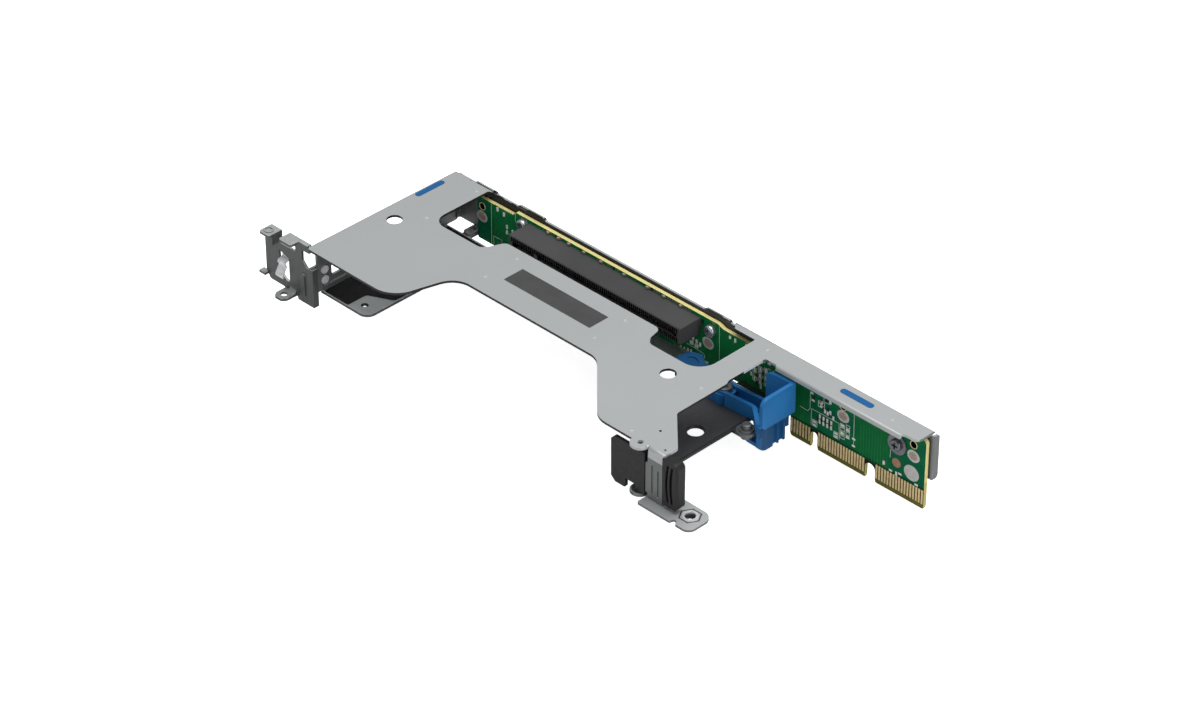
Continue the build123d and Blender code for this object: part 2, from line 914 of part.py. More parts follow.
# Black card end guide: front plate, web behind the column and the finger grip
with BuildPart() as card_end_guide:
    with BuildSketch(front(-74.9)):
        with BuildLine():
            outline(
                (159.6, -20.6, 0.5),
                (159.6, -4.6, 0.5),
                (161.2, -3.0, 0.5),
                (176.0, -3.0, 0.3),
                (176.0, film_top, 0),
                (171.2, film_top, 0.3),
                (171.2, -18.6, 0.5),
                (166.6, -18.6, 0.5),
                (166.6, -22.5, 0.6),
                (161.6, -22.5, 0.6),
            )
        make_face()
    extrude(amount=1.4)
    block((175.0, 186.0), (-75.1, -73.7), (-19.5, -3.0))
    with BuildSketch(front(-72.5)):
        with BuildLine():
            outline(
                (184.9, -20.0, 0.6),
                (184.9, -0.7, 0.6),
                (192.0, -0.7, 2.2),
                (192.0, -20.0, 1.6),
            )
        make_face()
    extrude(amount=4.0)
    with BuildSketch(level(-20.0)):
        with BuildLine():
            corner(192.0, -76.5, -0.8, 0.8)
        make_face()
    extrude(amount=19.5, mode=Mode.SUBTRACT)
    # two bowed finger grooves
    with BuildSketch(front(-76.5)):
        with BuildLine():
            ThreePointArc((187.1, -2.4), (186.2, -10.2), (187.1, -18.2))
            Line((187.1, -18.2), (188.0, -18.2))
            ThreePointArc((188.0, -18.2), (187.3, -10.2), (188.0, -2.4))
            Line((188.0, -2.4), (187.1, -2.4))
        make_face()
        with BuildLine():
            ThreePointArc((189.0, -2.6), (188.2, -10.2), (189.0, -18.0))
            Line((189.0, -18.0), (190.0, -18.0))
            ThreePointArc((190.0, -18.0), (189.4, -10.2), (190.0, -2.6))
            Line((190.0, -2.6), (189.0, -2.6))
        make_face()
    extrude(amount=-1.0, mode=Mode.SUBTRACT)

# Clinch nut in the foot
with BuildPart() as foot_nut:
    with BuildSketch(level(base_under - 1.6)):
        with Locations(nut_spot):
            RegularPolygon(4.2, 6)
    extrude(amount=1.6)
    with BuildSketch(level(base_under)):
        with Locations(nut_spot):
            Circle(nut_ring_r)
    extrude(amount=sheet + 0.2)
    with BuildSketch(level(base_under - 1.6)):
        with Locations(nut_spot):
            Circle(nut_hole_r)
    extrude(amount=sheet + 1.8, mode=Mode.SUBTRACT)

# Rear bracket: the plate that takes the card's slot cover, with its tabs
with BuildPart() as rear_bracket:
    with BuildSketch(front(bracket_back)):
        with BuildLine():
            outline(
                (-26.0, -6.5, 0.8),
                (-22.8, -6.5, 0),
                (-22.8, -0.9, 0.6),
                (-17.0, -0.9, 0.6),
                (-17.0, -6.5, 0.4),
                (-8.8, -6.5, 0.4),
                (-8.8, -4.0, 0.4),
                (-12.4, -4.0, 0.4),
                (-12.4, -0.4, 0),
                (-0.6, -0.4, 0),
                (-0.6, -4.0, 0.6),
                (-5.2, -4.0, 0.8),
                (-5.2, -8.6, 0.8),
                (-3.0, -11.0, 0.3),
                (0.5, -11.0, 0.3),
                (0.5, -27.6, 0.5),
                (-8.5, -27.6, 1),
                (-8.5, -26.4, 0.3),
                (-15.4, -26.4, 0),
                (-16.0, -25.4, 1),
                (-24.0, -25.4, 1),
                (-26.0, -22.0, 1),
            )
        make_face()
        with BuildLine():
            outline((-18.3, -19.6, 0.5), (-18.3, -9.6, 0.5), (-12.8, -11.6, 0.5), (-12.8, -23.0, 1))
        make_face(mode=Mode.SUBTRACT)
    extrude(amount=sheet)
    # upper tab with the round boss, its side flange and the second upper tab
    with BuildSketch(level(-0.9)):
        with BuildLine():
            outline(
                (-22.8, bracket_back, 0),
                (-22.8, -79.6, 1),
                (-17.0, -79.6, 1),
                (-17.0, bracket_back, 0),
            )
        make_face()
    extrude(amount=-sheet)
    with BuildSketch(level(-0.9)):
        with Locations((-20.2, -76.8)):
            Circle(1.9)
            Circle(1.5, mode=Mode.SUBTRACT)
    extrude(amount=0.35)
    block((-18.0, -17.0), (-78.0, bracket_front), (-5.6, -1.4))
    with BuildSketch(level(0)):
        with BuildLine():
            outline(
                (-12.4, bracket_back, 0),
                (-12.4, -79.0, 1.2),
                (-5.5, -79.0, 1.2),
                (-5.5, -75.0, 0.5),
                (-0.6, -75.0, 0.3),
                (-0.6, bracket_back, 0),
            )
        make_face()
    extrude(amount=-sheet)
    # lower tab with the screw hole, rounded into the plate
    with BuildSketch(level(-25.4)):
        with BuildLine():
            outline(
                (-15.4, bracket_back, 0),
                (-15.4, -78.8, 1.5),
                (-14.0, -80.8, 1.5),
                (-10.4, -80.8, 1.5),
                (-9.0, -78.8, 1.5),
                (-9.0, bracket_back, 0),
            )
        make_face()
        with Locations((-12.3, -77.6)):
            Circle(1.4, mode=Mode.SUBTRACT)
    extrude(amount=-sheet)
    with BuildSketch(side(-12.8)):
        with BuildLine():
            corner(bracket_front, -25.4, -2.4, 2.4)
        make_face()
    extrude(amount=3.8)
    # small turned ear at the lower left
    block((-28.6, -25.2), (-75.6, bracket_back), (-24.0, -23.0))
    # raised rib on the slot plate, and the flange beside the left wall
    with BuildSketch(front(bracket_front)):
        with Locations((-5.0, -19.6)):
            SlotOverall(10.4, 2.2, rotation=90)
    extrude(amount=0.5)
    block((-0.5, 0.5), (bracket_front, -71.4), (-27.6, -11.0))
    block((-0.6 - sheet, -0.6), (-73.5, -65.0), (-19.6, -10.5))
    with BuildSketch(side(-0.6 - sheet)):
        with Locations(*rivet_spots):
            Circle(rivet_r)
    extrude(amount=sheet, mode=Mode.SUBTRACT)

# Two rivets join the bracket's flange to the left wall
with BuildPart() as bracket_rivets:
    with BuildSketch(side(-0.6 - sheet - 0.6)):
        with Locations(*rivet_spots):
            Circle(rivet_head_r)
    extrude(amount=0.6)
    with BuildSketch(side(-0.6 - sheet)):
        with Locations(*rivet_spots):
            Circle(rivet_r)
    extrude(amount=2 * sheet)
    with BuildSketch(side(-0.6 + sheet)):
        with Locations(*rivet_spots):
            Circle(rivet_head_r)
    extrude(amount=0.5)

# Spring tongue behind the bracket's window, it bears on the slot cover
with BuildPart() as bracket_spring:
    with BuildSketch(side(-17.6)):
        with BuildLine():
            outline(
                (bracket_back, -8.4, 0),
                (bracket_back, -12.4, 0.3),
                (-75.2, -13.2, 0.6),
                (-75.6, -14.2, 0.4),
                (-74.9, -15.4, 0.4),
                (-77.0, -18.8, 0.5),
                (-76.6, -19.9, 0),
                (-76.0, -19.7, 0),
                (-76.3, -18.9, 0.3),
                (-74.2, -15.4, 0.6),
                (-74.9, -14.2, 0.2),
                (-74.7, -13.6, 0.2),
                (-72.5, -12.9, 0.6),
                (-72.5, -8.4, 0),
            )
        make_face()
    extrude(amount=4.0)

for part, file in (
    (cage, "cage"),
    (base_plate, "base_plate"),
    (base_film, "base_film"),
    (rear_film, "rear_film"),
    (riser_board, "riser_board"),
    (contacts_front, "contacts_front"),
    (contacts_back, "contacts_back"),
    (card_slot_housing, "card_slot_housing"),
    (card_slot_contacts, "card_slot_contacts"),
    (board_standoffs, "board_standoffs"),
    (board_screws, "board_screws"),
    (board_end_screw, "board_end_screw"),
    (capacitors, "capacitors"),
    (resistors, "resistors"),
    (plate_label, "plate_label"),
    (touch_mark_left, "touch_mark_left"),
    (touch_mark_rail, "touch_mark_rail"),
    (release_latch, "release_latch"),
    (latch_pivot_screw, "latch_pivot_screw"),
    (stop_pin, "stop_pin"),
    (card_end_guide, "card_end_guide"),
    (foot_nut, "foot_nut"),
    (rear_bracket, "rear_bracket"),
    (bracket_rivets, "bracket_rivets"),
    (bracket_spring, "bracket_spring"),
):
    part.part.label = file
    export_step(part.part, "parts/" + file + ".step")
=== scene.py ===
import math

import bmesh
import bpy
from bpy.props import FloatProperty, FloatVectorProperty, IntProperty, PointerProperty
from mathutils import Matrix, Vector


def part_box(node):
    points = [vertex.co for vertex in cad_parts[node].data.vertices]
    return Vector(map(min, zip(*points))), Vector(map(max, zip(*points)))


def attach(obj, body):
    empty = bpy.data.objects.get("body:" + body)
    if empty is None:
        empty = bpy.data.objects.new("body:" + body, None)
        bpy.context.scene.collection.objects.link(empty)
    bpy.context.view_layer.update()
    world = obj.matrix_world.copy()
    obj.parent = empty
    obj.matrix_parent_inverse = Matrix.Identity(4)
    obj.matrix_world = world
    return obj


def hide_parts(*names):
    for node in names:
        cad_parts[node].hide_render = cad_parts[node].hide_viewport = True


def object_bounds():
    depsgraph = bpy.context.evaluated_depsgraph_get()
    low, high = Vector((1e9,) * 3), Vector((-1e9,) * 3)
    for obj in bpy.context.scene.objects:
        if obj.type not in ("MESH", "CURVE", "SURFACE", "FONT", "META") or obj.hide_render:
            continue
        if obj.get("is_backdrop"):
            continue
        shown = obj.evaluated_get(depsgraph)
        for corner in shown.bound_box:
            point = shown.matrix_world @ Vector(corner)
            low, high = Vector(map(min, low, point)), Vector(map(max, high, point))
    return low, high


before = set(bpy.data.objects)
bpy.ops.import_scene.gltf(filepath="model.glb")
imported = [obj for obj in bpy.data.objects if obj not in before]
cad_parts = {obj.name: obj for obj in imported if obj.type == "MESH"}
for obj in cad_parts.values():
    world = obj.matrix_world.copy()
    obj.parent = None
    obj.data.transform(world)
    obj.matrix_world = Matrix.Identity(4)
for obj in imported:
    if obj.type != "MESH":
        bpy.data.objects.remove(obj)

bl_info = {
    "name": "Server riser dresser",
    "version": (1, 0, 0),
    "blender": (4, 5, 0),
    "location": "View3D > Sidebar > Riser",
    "description": "Finishes and small pieces for the server riser, on its packed solids",
    "category": "Object",
}

MM = 0.001

# Place of the cage in the row frame, in metres: its left wall, the plate's back edge, its upper
# face. All lengths below are millimetres from that corner, unless they say otherwise.
CAGE = Vector((-0.1876, 0.0004, 0.0336))

# Heights and depths of the solids that the small pieces sit on
PLATE_UNDER = -1.0
BASE_TOP = -21.6
FILM_TOP = -21.3
BOARD_FRONT = -1.2
SLOT_FACE = -12.1
SLOT_MID = -7.4
SLOT_CENTRE = 86.3
NUT = (195.2, -73.1)
EAR_HOLE = (19.0, -65.0)

# Zones of the sheet metal where painted shade, painted light or a darker tone is laid on or kept
# off; None leaves a side open
RAIL_LIP = {"x": (171, None), "y": (None, -6), "z": (-4, None)}
PLATE_EDGE = {"z": (-1.06, 1)}
PLATE_ARM = {"x": (166, None), "y": (-19.2, None)}
PLATE_TAB = {"x": (169.3, None), "y": (None, -68)}
# where a painted highlight lies on a sheared edge
EDGE_HIGHLIGHT = {"x": (166, 171), "y": (-19.2, -9.4)}
BASE_EDGE = {"x": (None, 172), "z": (-22.7, -21.55)}
BASE_EAR = {"x": (None, 70)}
BASE_FRONT_RIM = {"x": (97, 172), "y": (-59, -16)}

# Zones of the board
COPPER_ZONES = ({"x": (185.4, 206.2)}, {"x": (None, 20.8)}, {"x": (223.2, None)})
FINGER_BAND = {"x": (175.5, None), "z": (-25.6, -24.3)}
FINGER_GAPS = {"z": (-31.2, -25.6)}
BEVEL = {"z": (None, -31.6)}
HOLE_WALLS = {"x": (None, 238.5), "z": (-10.4, -6.2)}
LOWER_SIDE = {"z": (None, -22)}
UPPER_SHADE = {"x": (None, 165), "z": (-4.6, None)}

# Zones of the mouldings
SLOT_INSIDE = {
    "x": (42.4, 130.2),
    "y": (SLOT_FACE + 0.15, None),
    "z": (SLOT_MID - 2.6, SLOT_MID + 2.6),
}
LEVER_HOOK = {"z": (None, -15.6)}

# Places of the tooling dots, X and Y
DOTS = [
    (16.4, -30.2), (16.4, -4.3), (60.9, -42.1), (60.7, -25.9), (117.2, -41.9), (117.1, -26.1),
    (166.1, -37.5), (166.5, -3.6), (166.6, -72.9), (226.6, -4.1),
]

# Tongues that reach from the base plate to the board: left end, right end, back edge
BASE_TONGUES = [(97.0, 110.6, -1.3), (110.6, 117.8, -2.2), (117.8, 135.6, -1.3)]
FILM_TONGUES = [(138.4, 149.2, -1.3), (151.8, 170.2, -1.3)]

# Outline of the post that closes the corner of the left wall and the rear wall
POST = [
    (0.1, -0.6), (1.0, -0.6), (1.0, 0.5), (1.3, 0.9), (2.0, 1.05), (2.0, 1.95),
    (0.9, 1.95), (0.35, 1.7), (0.1, 1.1),
]

# Places on the front of the board, X and Z
HOLES = [(15.9, -8.2), (200.8, -8.5), (234.1, -8.1)]
OVAL_PADS = [(15.7, -12.8), (134.7, -13.4), (201.0, -12.7), (234.2, -13.0)]
LARGE_PAD = [(233.7, -20.6)]
COPPER_PAD = [(226.6, -19.8)]
PRINTED = [
    [(20.9, -4.9), (20.7, -23.2)],
    [(21.9, -22.7), (21.9, -18.8), (26.5, -18.8), (26.5, -19.9)],
    [(34.0, -3.0), (34.0, -6.9)],
    [(140.2, -3.0), (140.5, -18.0)],
    [(124.1, -18.6), (132.6, -19.0), (133.3, -20.7)],
    [(180.4, -18.5), (184.2, -18.6), (185.3, -17.1), (185.2, -9.7)],
    [(186.0, -23.7), (186.0, -16.8), (199.2, -16.6), (199.6, -23.5)],
    [(206.2, -8.3), (206.4, -22.4)],
    [(223.7, -15.4), (223.6, -18.8)],
]


def box_run(x, z, width, height):
    """The outline of a part as a run of points."""
    a, b = width / 2, height / 2
    return [(x - a, z - b), (x + a, z - b), (x + a, z + b), (x - a, z + b), (x - a, z - b)]


PART_BOXES = [
    *(box_run(200.9, -16.7 - 1.7 * i, 2.1, 1.2) for i in range(4)),
    *(box_run(203.5, -16.0 - 1.5 * i, 1.7, 1.1) for i in range(4)),
    box_run(190.6, -12.8, 3.0, 2.6),
    box_run(193.0, -9.7, 2.6, 2.4),
    box_run(187.7, -22.4, 2.2, 2.6),
    box_run(197.9, -22.3, 2.0, 2.6),
    *(box_run(160.7, z, 1.9, 2.2) for z in (-12.2, -14.8, -17.4)),
    *(box_run(163.5, z, 1.6, 2.2) for z in (-11.4, -14.4, -17.2)),
    *(box_run(158.0, z, 1.9, 2.0) for z in (-13.8, -17.4)),
]

PADS = [
    (
        "pads_tall",
        (0.85, 1.7),
        [
            (190.1, -18.2), (191.9, -18.3), (193.7, -18.3), (195.6, -18.3), (190.1, -20.4),
            (191.9, -20.5), (193.7, -20.5), (195.6, -20.5), (192.4, -14.8), (195.0, -14.2),
            (194.9, -9.6), (196.5, -15.8), (126.0, -17.2), (127.0, -17.0), (128.5, -17.5),
            (129.5, -17.4), (121.2, -21.9), (122.8, -21.7), (124.7, -21.3), (126.3, -21.1),
            (153.6, -4.8), (37.6, -4.1), (40.1, -4.3), (163.5, -11.4), (163.5, -14.8),
            (163.6, -17.6), (160.8, -12.2), (160.7, -15.0), (160.8, -17.6), (158.1, -13.8),
            (158.0, -17.6), (156.4, -16.1), (161.2, -19.6), (226.8, -24.4),
        ],
    ),
    (
        "pads_flat",
        (1.5, 0.8),
        [
            (185.9, -10.0), (186.6, -12.9), (187.7, -21.8), (187.7, -23.1), (197.9, -21.7),
            (197.9, -23.0), (228.5, -23.7), (236.2, -24.4), (137.4, -3.4), (190.4, -12.4),
            (190.8, -13.6), (162.4, -8.0), (165.0, -7.8), (206.4, -19.8), (206.4, -22.8),
            (224.1, -24.3), (200.9, -16.7), (200.9, -20.1), (203.5, -17.5), (203.5, -20.5),
        ],
    ),
    (
        "pads_fine",
        (0.5, 0.9),
        [(188.0 + 0.9 * i, -8.7) for i in range(6)]
        + [(x * 1.3, -3.4) for x in (38, 39, 41, 44, 45, 60, 61, 62, 64, 65, 67, 68, 70)]
        + [(104.0 + 1.15 * i, -3.4) for i in range(20)],
    ),
]
DARKS = [
    (189.0, -19.2), (191.0, -19.3), (192.8, -19.3), (194.7, -19.3), (193.0, -9.7), (193.9, -13.4),
    (194.4, -15.4), (191.6, -14.2), (132.0, -5.0), (187.2, -11.4), (159.4, -15.2), (162.2, -13.4),
    (162.2, -16.6), (159.4, -18.8), (164.6, -19.0), (56.0, -3.4), (86.6, -3.4), (106.0, -3.4),
]
CAPACITORS = [
    (52.0, -3.35), (57.5, -3.35), (63.0, -3.35), (71.0, -3.35), (80.0, -3.35), (92.0, -3.35),
    (104.0, -3.35), (112.5, -3.35), (121.0, -3.35), (168.0, -15.8), (190.5, -6.2), (190.5, -11.4),
]
RESISTORS = [
    (24.5, -5.6), (28.0, -6.4), (29.6, -11.2), (29.6, -13.6), (32.6, -12.2), (127.4, -14.6),
    (129.2, -15.2), (131.0, -15.8), (145.8, -5.2), (148.4, -5.6), (174.2, -6.0), (194.0, -14.8),
    (221.0, -22.4),
]


# The stage, in metres and watts. Lamps: name, place, target, width, power
LAMPS = (
    ("overhead_softbox", (0.1, 0.15, 1.5), (0.0, 0.0, 0.0), 1.8, 23.0),
    ("right_softbox", (1.6, -0.25, 0.6), (0.0, 0.0, 0.02), 0.9, 8.0),
    ("front_fill", (-0.5, -1.7, 0.5), (0.0, 0.0, 0.02), 1.2, 1.5),
)
FLOOR_HALF = 4
FLOOR_DROP = 0.0002
FLOOR_GLOW = 0.85
SKY_LIGHT = 0.3
CAMERA_PLACE = (0.80163, -0.91095, 0.88096)
CAMERA_LOOK = (-0.58134, 0.58134, -0.56928)
CAMERA_LENS = 124.95


def spot(x, y, z):
    """A point given in millimetres from the cage's corner."""
    return CAGE + Vector((x, y, z)) * MM


def prop(name, text, value, unit="LENGTH"):
    """A size that can be changed in the sidebar."""
    return FloatProperty(name=name, description=text, default=value, unit=unit, precision=5)


def tint(name, text, value):
    """A colour that can be changed in the sidebar."""
    return FloatVectorProperty(
        name=name, description=text, default=value, subtype="COLOR", size=3, min=0, max=1
    )


class RiserSizes(bpy.types.PropertyGroup):
    """Sizes of the small pieces that the scene adds."""

    edge_round: prop("Moulded edge", "Rounding on the edges of mouldings", 0.00028)
    sheet_round: prop("Sheet edge", "Rounding on the edges of sheet metal", 0.00009)
    rib_count: IntProperty(name="Ribs", description="Ribs in each row of the card slot", default=83)
    rib_pitch: prop("Rib pitch", "Distance between the ribs of the card slot", 0.001)
    rib_width: prop("Rib width", "Width of a rib of the card slot", 0.00042)
    via_size: prop("Via", "Width of a plated hole on the board", 0.00055)
    mark_width: prop("Marking width", "Width of a printed line on the board", 0.00022)


class RiserColours(bpy.types.PropertyGroup):
    """Colours of the finishes."""

    steel: tint("Sheet steel", "Zinc-coated sheet", (0.455, 0.476, 0.476))
    # painted shade: near black for the sheet's upright sheared edges, also laid on the base's top
    # along its front
    edge_shade_and_rim_dark: tint("Cut edge", "Sheared edge of the sheet", (0.02, 0.021, 0.022))
    film: tint("Film", "Insulating film", (0.013, 0.013, 0.014))
    mask: tint("Solder mask", "Green of the board", (0.007, 0.165, 0.042))
    mask_dark: tint("Solder mask over copper", "Darker green of the board", (0.002, 0.12, 0.055))
    laminate: tint("Laminate", "Cut edge of the board", (0.78, 0.69, 0.3))
    gold: tint("Gold", "Plating of the contacts", (0.92, 0.7, 0.36))
    housing: tint("Slot housing", "Moulding of the card slot", (0.058, 0.058, 0.06))
    lever: tint("Lever", "Blue moulding", (0.02, 0.175, 0.46))
    guide: tint("Guide", "Black moulding", (0.014, 0.014, 0.0145))
    label: tint("Label", "Bare label", (0.075, 0.075, 0.076))
    touch: tint("Touch mark", "Blue marks", (0.02, 0.118, 0.31))


def sizes():
    """The sizes in the sidebar."""
    return bpy.context.scene.riser_sizes


def colours():
    """The colours in the sidebar."""
    return bpy.context.scene.riser_colours


def shader_of(mat):
    """The shader of a material."""
    return mat.node_tree.nodes["Principled BSDF"]


def finish_material(name, colour, metallic, roughness, specular=0.5):
    """A new material with its shader's plain values set."""
    mat = bpy.data.materials.new(name)
    mat.use_nodes = True
    values = {
        "Base Color": (*colour, 1),
        "Metallic": metallic,
        "Roughness": roughness,
        "Specular IOR Level": specular,
    }
    for key, value in values.items():
        shader_of(mat).inputs[key].default_value = value
    mat.diffuse_color = (*colour, 1)
    return mat


def add(mat, kind, links=None, values=None, **settings):
    """A node in a material, its inputs linked and set by name or number."""
    node = mat.node_tree.nodes.new(kind)
    for name, value in settings.items():
        setattr(node, name, value)
    for key, value in (values or {}).items():
        node.inputs[key].default_value = value
    for key, source in (links or {}).items():
        mat.node_tree.links.new(source, node.inputs[key])
    return node


def feed(mat, socket, value):
    """Links an input to another node's output, or sets its plain value."""
    if isinstance(value, bpy.types.NodeSocket):
        mat.node_tree.links.new(value, socket)
    elif socket.type == "RGBA":
        socket.default_value = (*value, 1)
    else:
        socket.default_value = value


def shader_link(mat, socket, source):
    """Links an input of the shader."""
    mat.node_tree.links.new(source, shader_of(mat).inputs[socket])


def base_colour(mat):
    """What the shader's colour comes from so far."""
    return shader_of(mat).inputs["Base Color"].links[0].from_socket


def object_place(mat):
    """The place on the piece, in metres."""
    return add(mat, "ShaderNodeTexCoord").outputs["Object"]


def axes(mat, source):
    """X, Y and Z of a place or a direction."""
    node = add(mat, "ShaderNodeSeparateXYZ", {"Vector": source})
    return node.outputs["X"], node.outputs["Y"], node.outputs["Z"]


def normal_axes(mat):
    """X, Y and Z of the way a face looks."""
    return axes(mat, add(mat, "ShaderNodeTexCoord").outputs["Normal"])


def noise(mat, scale, detail=3.0, stretch=(1, 1, 1)):
    """Noise on Object coordinates, drawn out along an axis if wanted."""
    place = add(mat, "ShaderNodeMapping", {"Vector": object_place(mat)}, {"Scale": stretch})
    node = add(
        mat,
        "ShaderNodeTexNoise",
        {"Vector": place.outputs["Vector"]},
        {"Scale": scale, "Detail": detail, "Roughness": 0.6},
    )
    return node.outputs["Fac"]


def spread(mat, source, low, high, start=0.3, end=0.7):
    """A value spread from one range to another."""
    node = add(
        mat,
        "ShaderNodeMapRange",
        {"Value": source},
        {"From Min": start, "From Max": end, "To Min": low, "To Max": high},
    )
    return node.outputs["Result"]


def blend_colours(mat, factor, first, second):
    """A mix of two colours, each a colour or another node's output."""
    node = add(mat, "ShaderNodeMix", data_type="RGBA")
    for index, value in ((0, factor), (6, first), (7, second)):
        feed(mat, node.inputs[index], value)
    return node.outputs[2]


def maths(mat, operation, a, b=0.0):
    """One step of arithmetic, each side a number or another node's output."""
    node = add(mat, "ShaderNodeMath", operation=operation)
    for index, value in ((0, a), (1, b)):
        feed(mat, node.inputs[index], value)
    return node.outputs[0]


def product(mat, first, *others):
    """The product of several values."""
    for value in others:
        first = maths(mat, "MULTIPLY", first, value)
    return first


def opposite(mat, value):
    """1 where a value is 0, and the other way round."""
    return maths(mat, "SUBTRACT", 1.0, value)


def inside(mat, zone):
    """1 where a place lies in a zone, which gives a low and a high limit for its axes."""
    place = dict(zip("xyz", axes(mat, object_place(mat))))
    start = dict(zip("xyz", CAGE))
    tests = []
    for axis, (low, high) in zone.items():
        if low is not None:
            tests.append(maths(mat, "GREATER_THAN", place[axis], start[axis] + low * MM))
        if high is not None:
            tests.append(maths(mat, "LESS_THAN", place[axis], start[axis] + high * MM))
    return product(mat, *tests)


def along(mat, start, end):
    """From 0 to 1 between two places on the X axis."""
    x = axes(mat, object_place(mat))[0]
    return spread(mat, x, 0, 1, CAGE.x + start * MM, CAGE.x + end * MM)


def relief(mat, source, strength, distance):
    """Fine bump from a value."""
    node = add(
        mat, "ShaderNodeBump", {"Height": source}, {"Strength": strength, "Distance": distance}
    )
    shader_link(mat, "Normal", node.outputs["Normal"])


def shades(colour, factor):
    """A colour made darker or lighter."""
    return tuple(min(1.0, c * factor) for c in colour)


def mottled(mat, value, colour, low, high):
    """A colour that varies with a noise between two of its shades."""
    return blend_colours(mat, spread(mat, value, 0, 1), shades(colour, low), shades(colour, high))


def sheet_steel():
    """Zinc-coated sheet with a fine grain, with painted shade on its upright faces and sheared
    edges, and painted light on one edge and on the base's ear.
    """
    steel = colours().steel
    mat = finish_material("sheet_steel", steel, 0.35, 0.42)
    grain = noise(mat, 2200, 2)
    clouds = noise(mat, 26, 4)
    tone = mottled(mat, grain, steel, 0.99, 1.06)
    tone = blend_colours(mat, spread(mat, clouds, 0, 0.35), tone, shades(steel, 0.9))
    # painted shade: upright faces are painted darker, except on the rail's lip
    facing = maths(mat, "ABSOLUTE", normal_axes(mat)[2])
    upright_shade_share = spread(mat, facing, 1, 0, 0.2, 0.9)
    dull = product(mat, upright_shade_share, opposite(mat, inside(mat, RAIL_LIP)))
    tone = blend_colours(mat, dull, tone, shades(steel, 0.36))
    upright = maths(mat, "LESS_THAN", facing, 0.93)
    plate_edge = product(mat, upright, inside(mat, PLATE_EDGE))
    base_edge = inside(mat, BASE_EDGE)
    # painted highlight: one short sheared edge beside the lever is painted near white
    edge_highlight = product(mat, inside(mat, EDGE_HIGHLIGHT), plate_edge)
    tone = blend_colours(mat, edge_highlight, tone, (0.9, 0.92, 0.92))
    # painted light: the base's left ear, in the plate's shadow, is painted much lighter
    ear = product(mat, base_edge, inside(mat, BASE_EAR))
    tone = blend_colours(mat, ear, tone, shades(steel, 1.7))
    # painted shade: the upright edges of the plate's top layer and of the base are painted near
    # black, except on the plate's arm and tab, where they catch the light
    light = maths(mat, "MAXIMUM", inside(mat, PLATE_ARM), inside(mat, PLATE_TAB))
    dark = product(mat, plate_edge, opposite(mat, light))
    dark = maths(mat, "MAXIMUM", dark, product(mat, upright, base_edge, 0.9))
    # the base's top along its front is painted near black as well
    rim = product(mat, inside(mat, BASE_FRONT_RIM), base_edge, 0.95)
    dark = maths(mat, "MAXIMUM", dark, rim)
    shader_link(mat, "Base Color", blend_colours(mat, dark, tone, colours().edge_shade_and_rim_dark))
    shader_link(mat, "Roughness", spread(mat, clouds, 0.38, 0.5))
    relief(mat, grain, 0.12, 0.00005)
    return mat


def bracket_steel():
    """The same sheet, a little darker, brushed along its height, with painted shade on its upright
    faces.
    """
    steel = colours().steel
    mat = finish_material("bracket_steel", steel, 0.4, 0.42)
    brush = noise(mat, 900, 3, (1, 1, 0.12))
    facing = maths(mat, "ABSOLUTE", normal_axes(mat)[2])
    level = mottled(mat, brush, steel, 0.9, 1.1)
    # painted shade: upright faces are painted far darker than level ones
    upright = mottled(mat, brush, steel, 0.17, 0.25)
    upright_shade_share = spread(mat, facing, 1, 0, 0.2, 0.9)
    shader_link(mat, "Base Color", blend_colours(mat, upright_shade_share, level, upright))
    shader_link(mat, "Roughness", spread(mat, brush, 0.34, 0.48))
    relief(mat, brush, 0.15, 0.00005)
    return mat


def black_film():
    """Matt film with a faint orange peel, greyer towards its right end by painted light."""
    film = colours().film
    mat = finish_material("black_film", film, 0, 0.55, 0.35)
    peel = noise(mat, 700, 2)
    tone = mottled(mat, noise(mat, 60, 3), film, 0.8, 1.3)
    # painted light: the film is painted lighter towards its right end
    tone = blend_colours(mat, along(mat, 90, 150), tone, shades(film, 3.6))
    shader_link(mat, "Base Color", tone)
    shader_link(mat, "Roughness", spread(mat, peel, 0.45, 0.62))
    relief(mat, peel, 0.2, 0.00004)
    return mat


def routed_traces(mat):
    """1 on runs of traces that change height in steps, as a router lays them."""
    x, _, z = axes(mat, object_place(mat))
    step = maths(mat, "SNAP", x, 0.0095)
    drift = product(mat, maths(mat, "SINE", product(mat, step, 731.0)), 0.004)
    lane = maths(mat, "ADD", z, drift)
    fine = maths(mat, "FRACT", product(mat, lane, 1300.0))
    routed = maths(mat, "GREATER_THAN", noise(mat, 55, 1, (1, 1, 1.6)), 0.52)
    return product(mat, maths(mat, "LESS_THAN", fine, 0.42), routed)


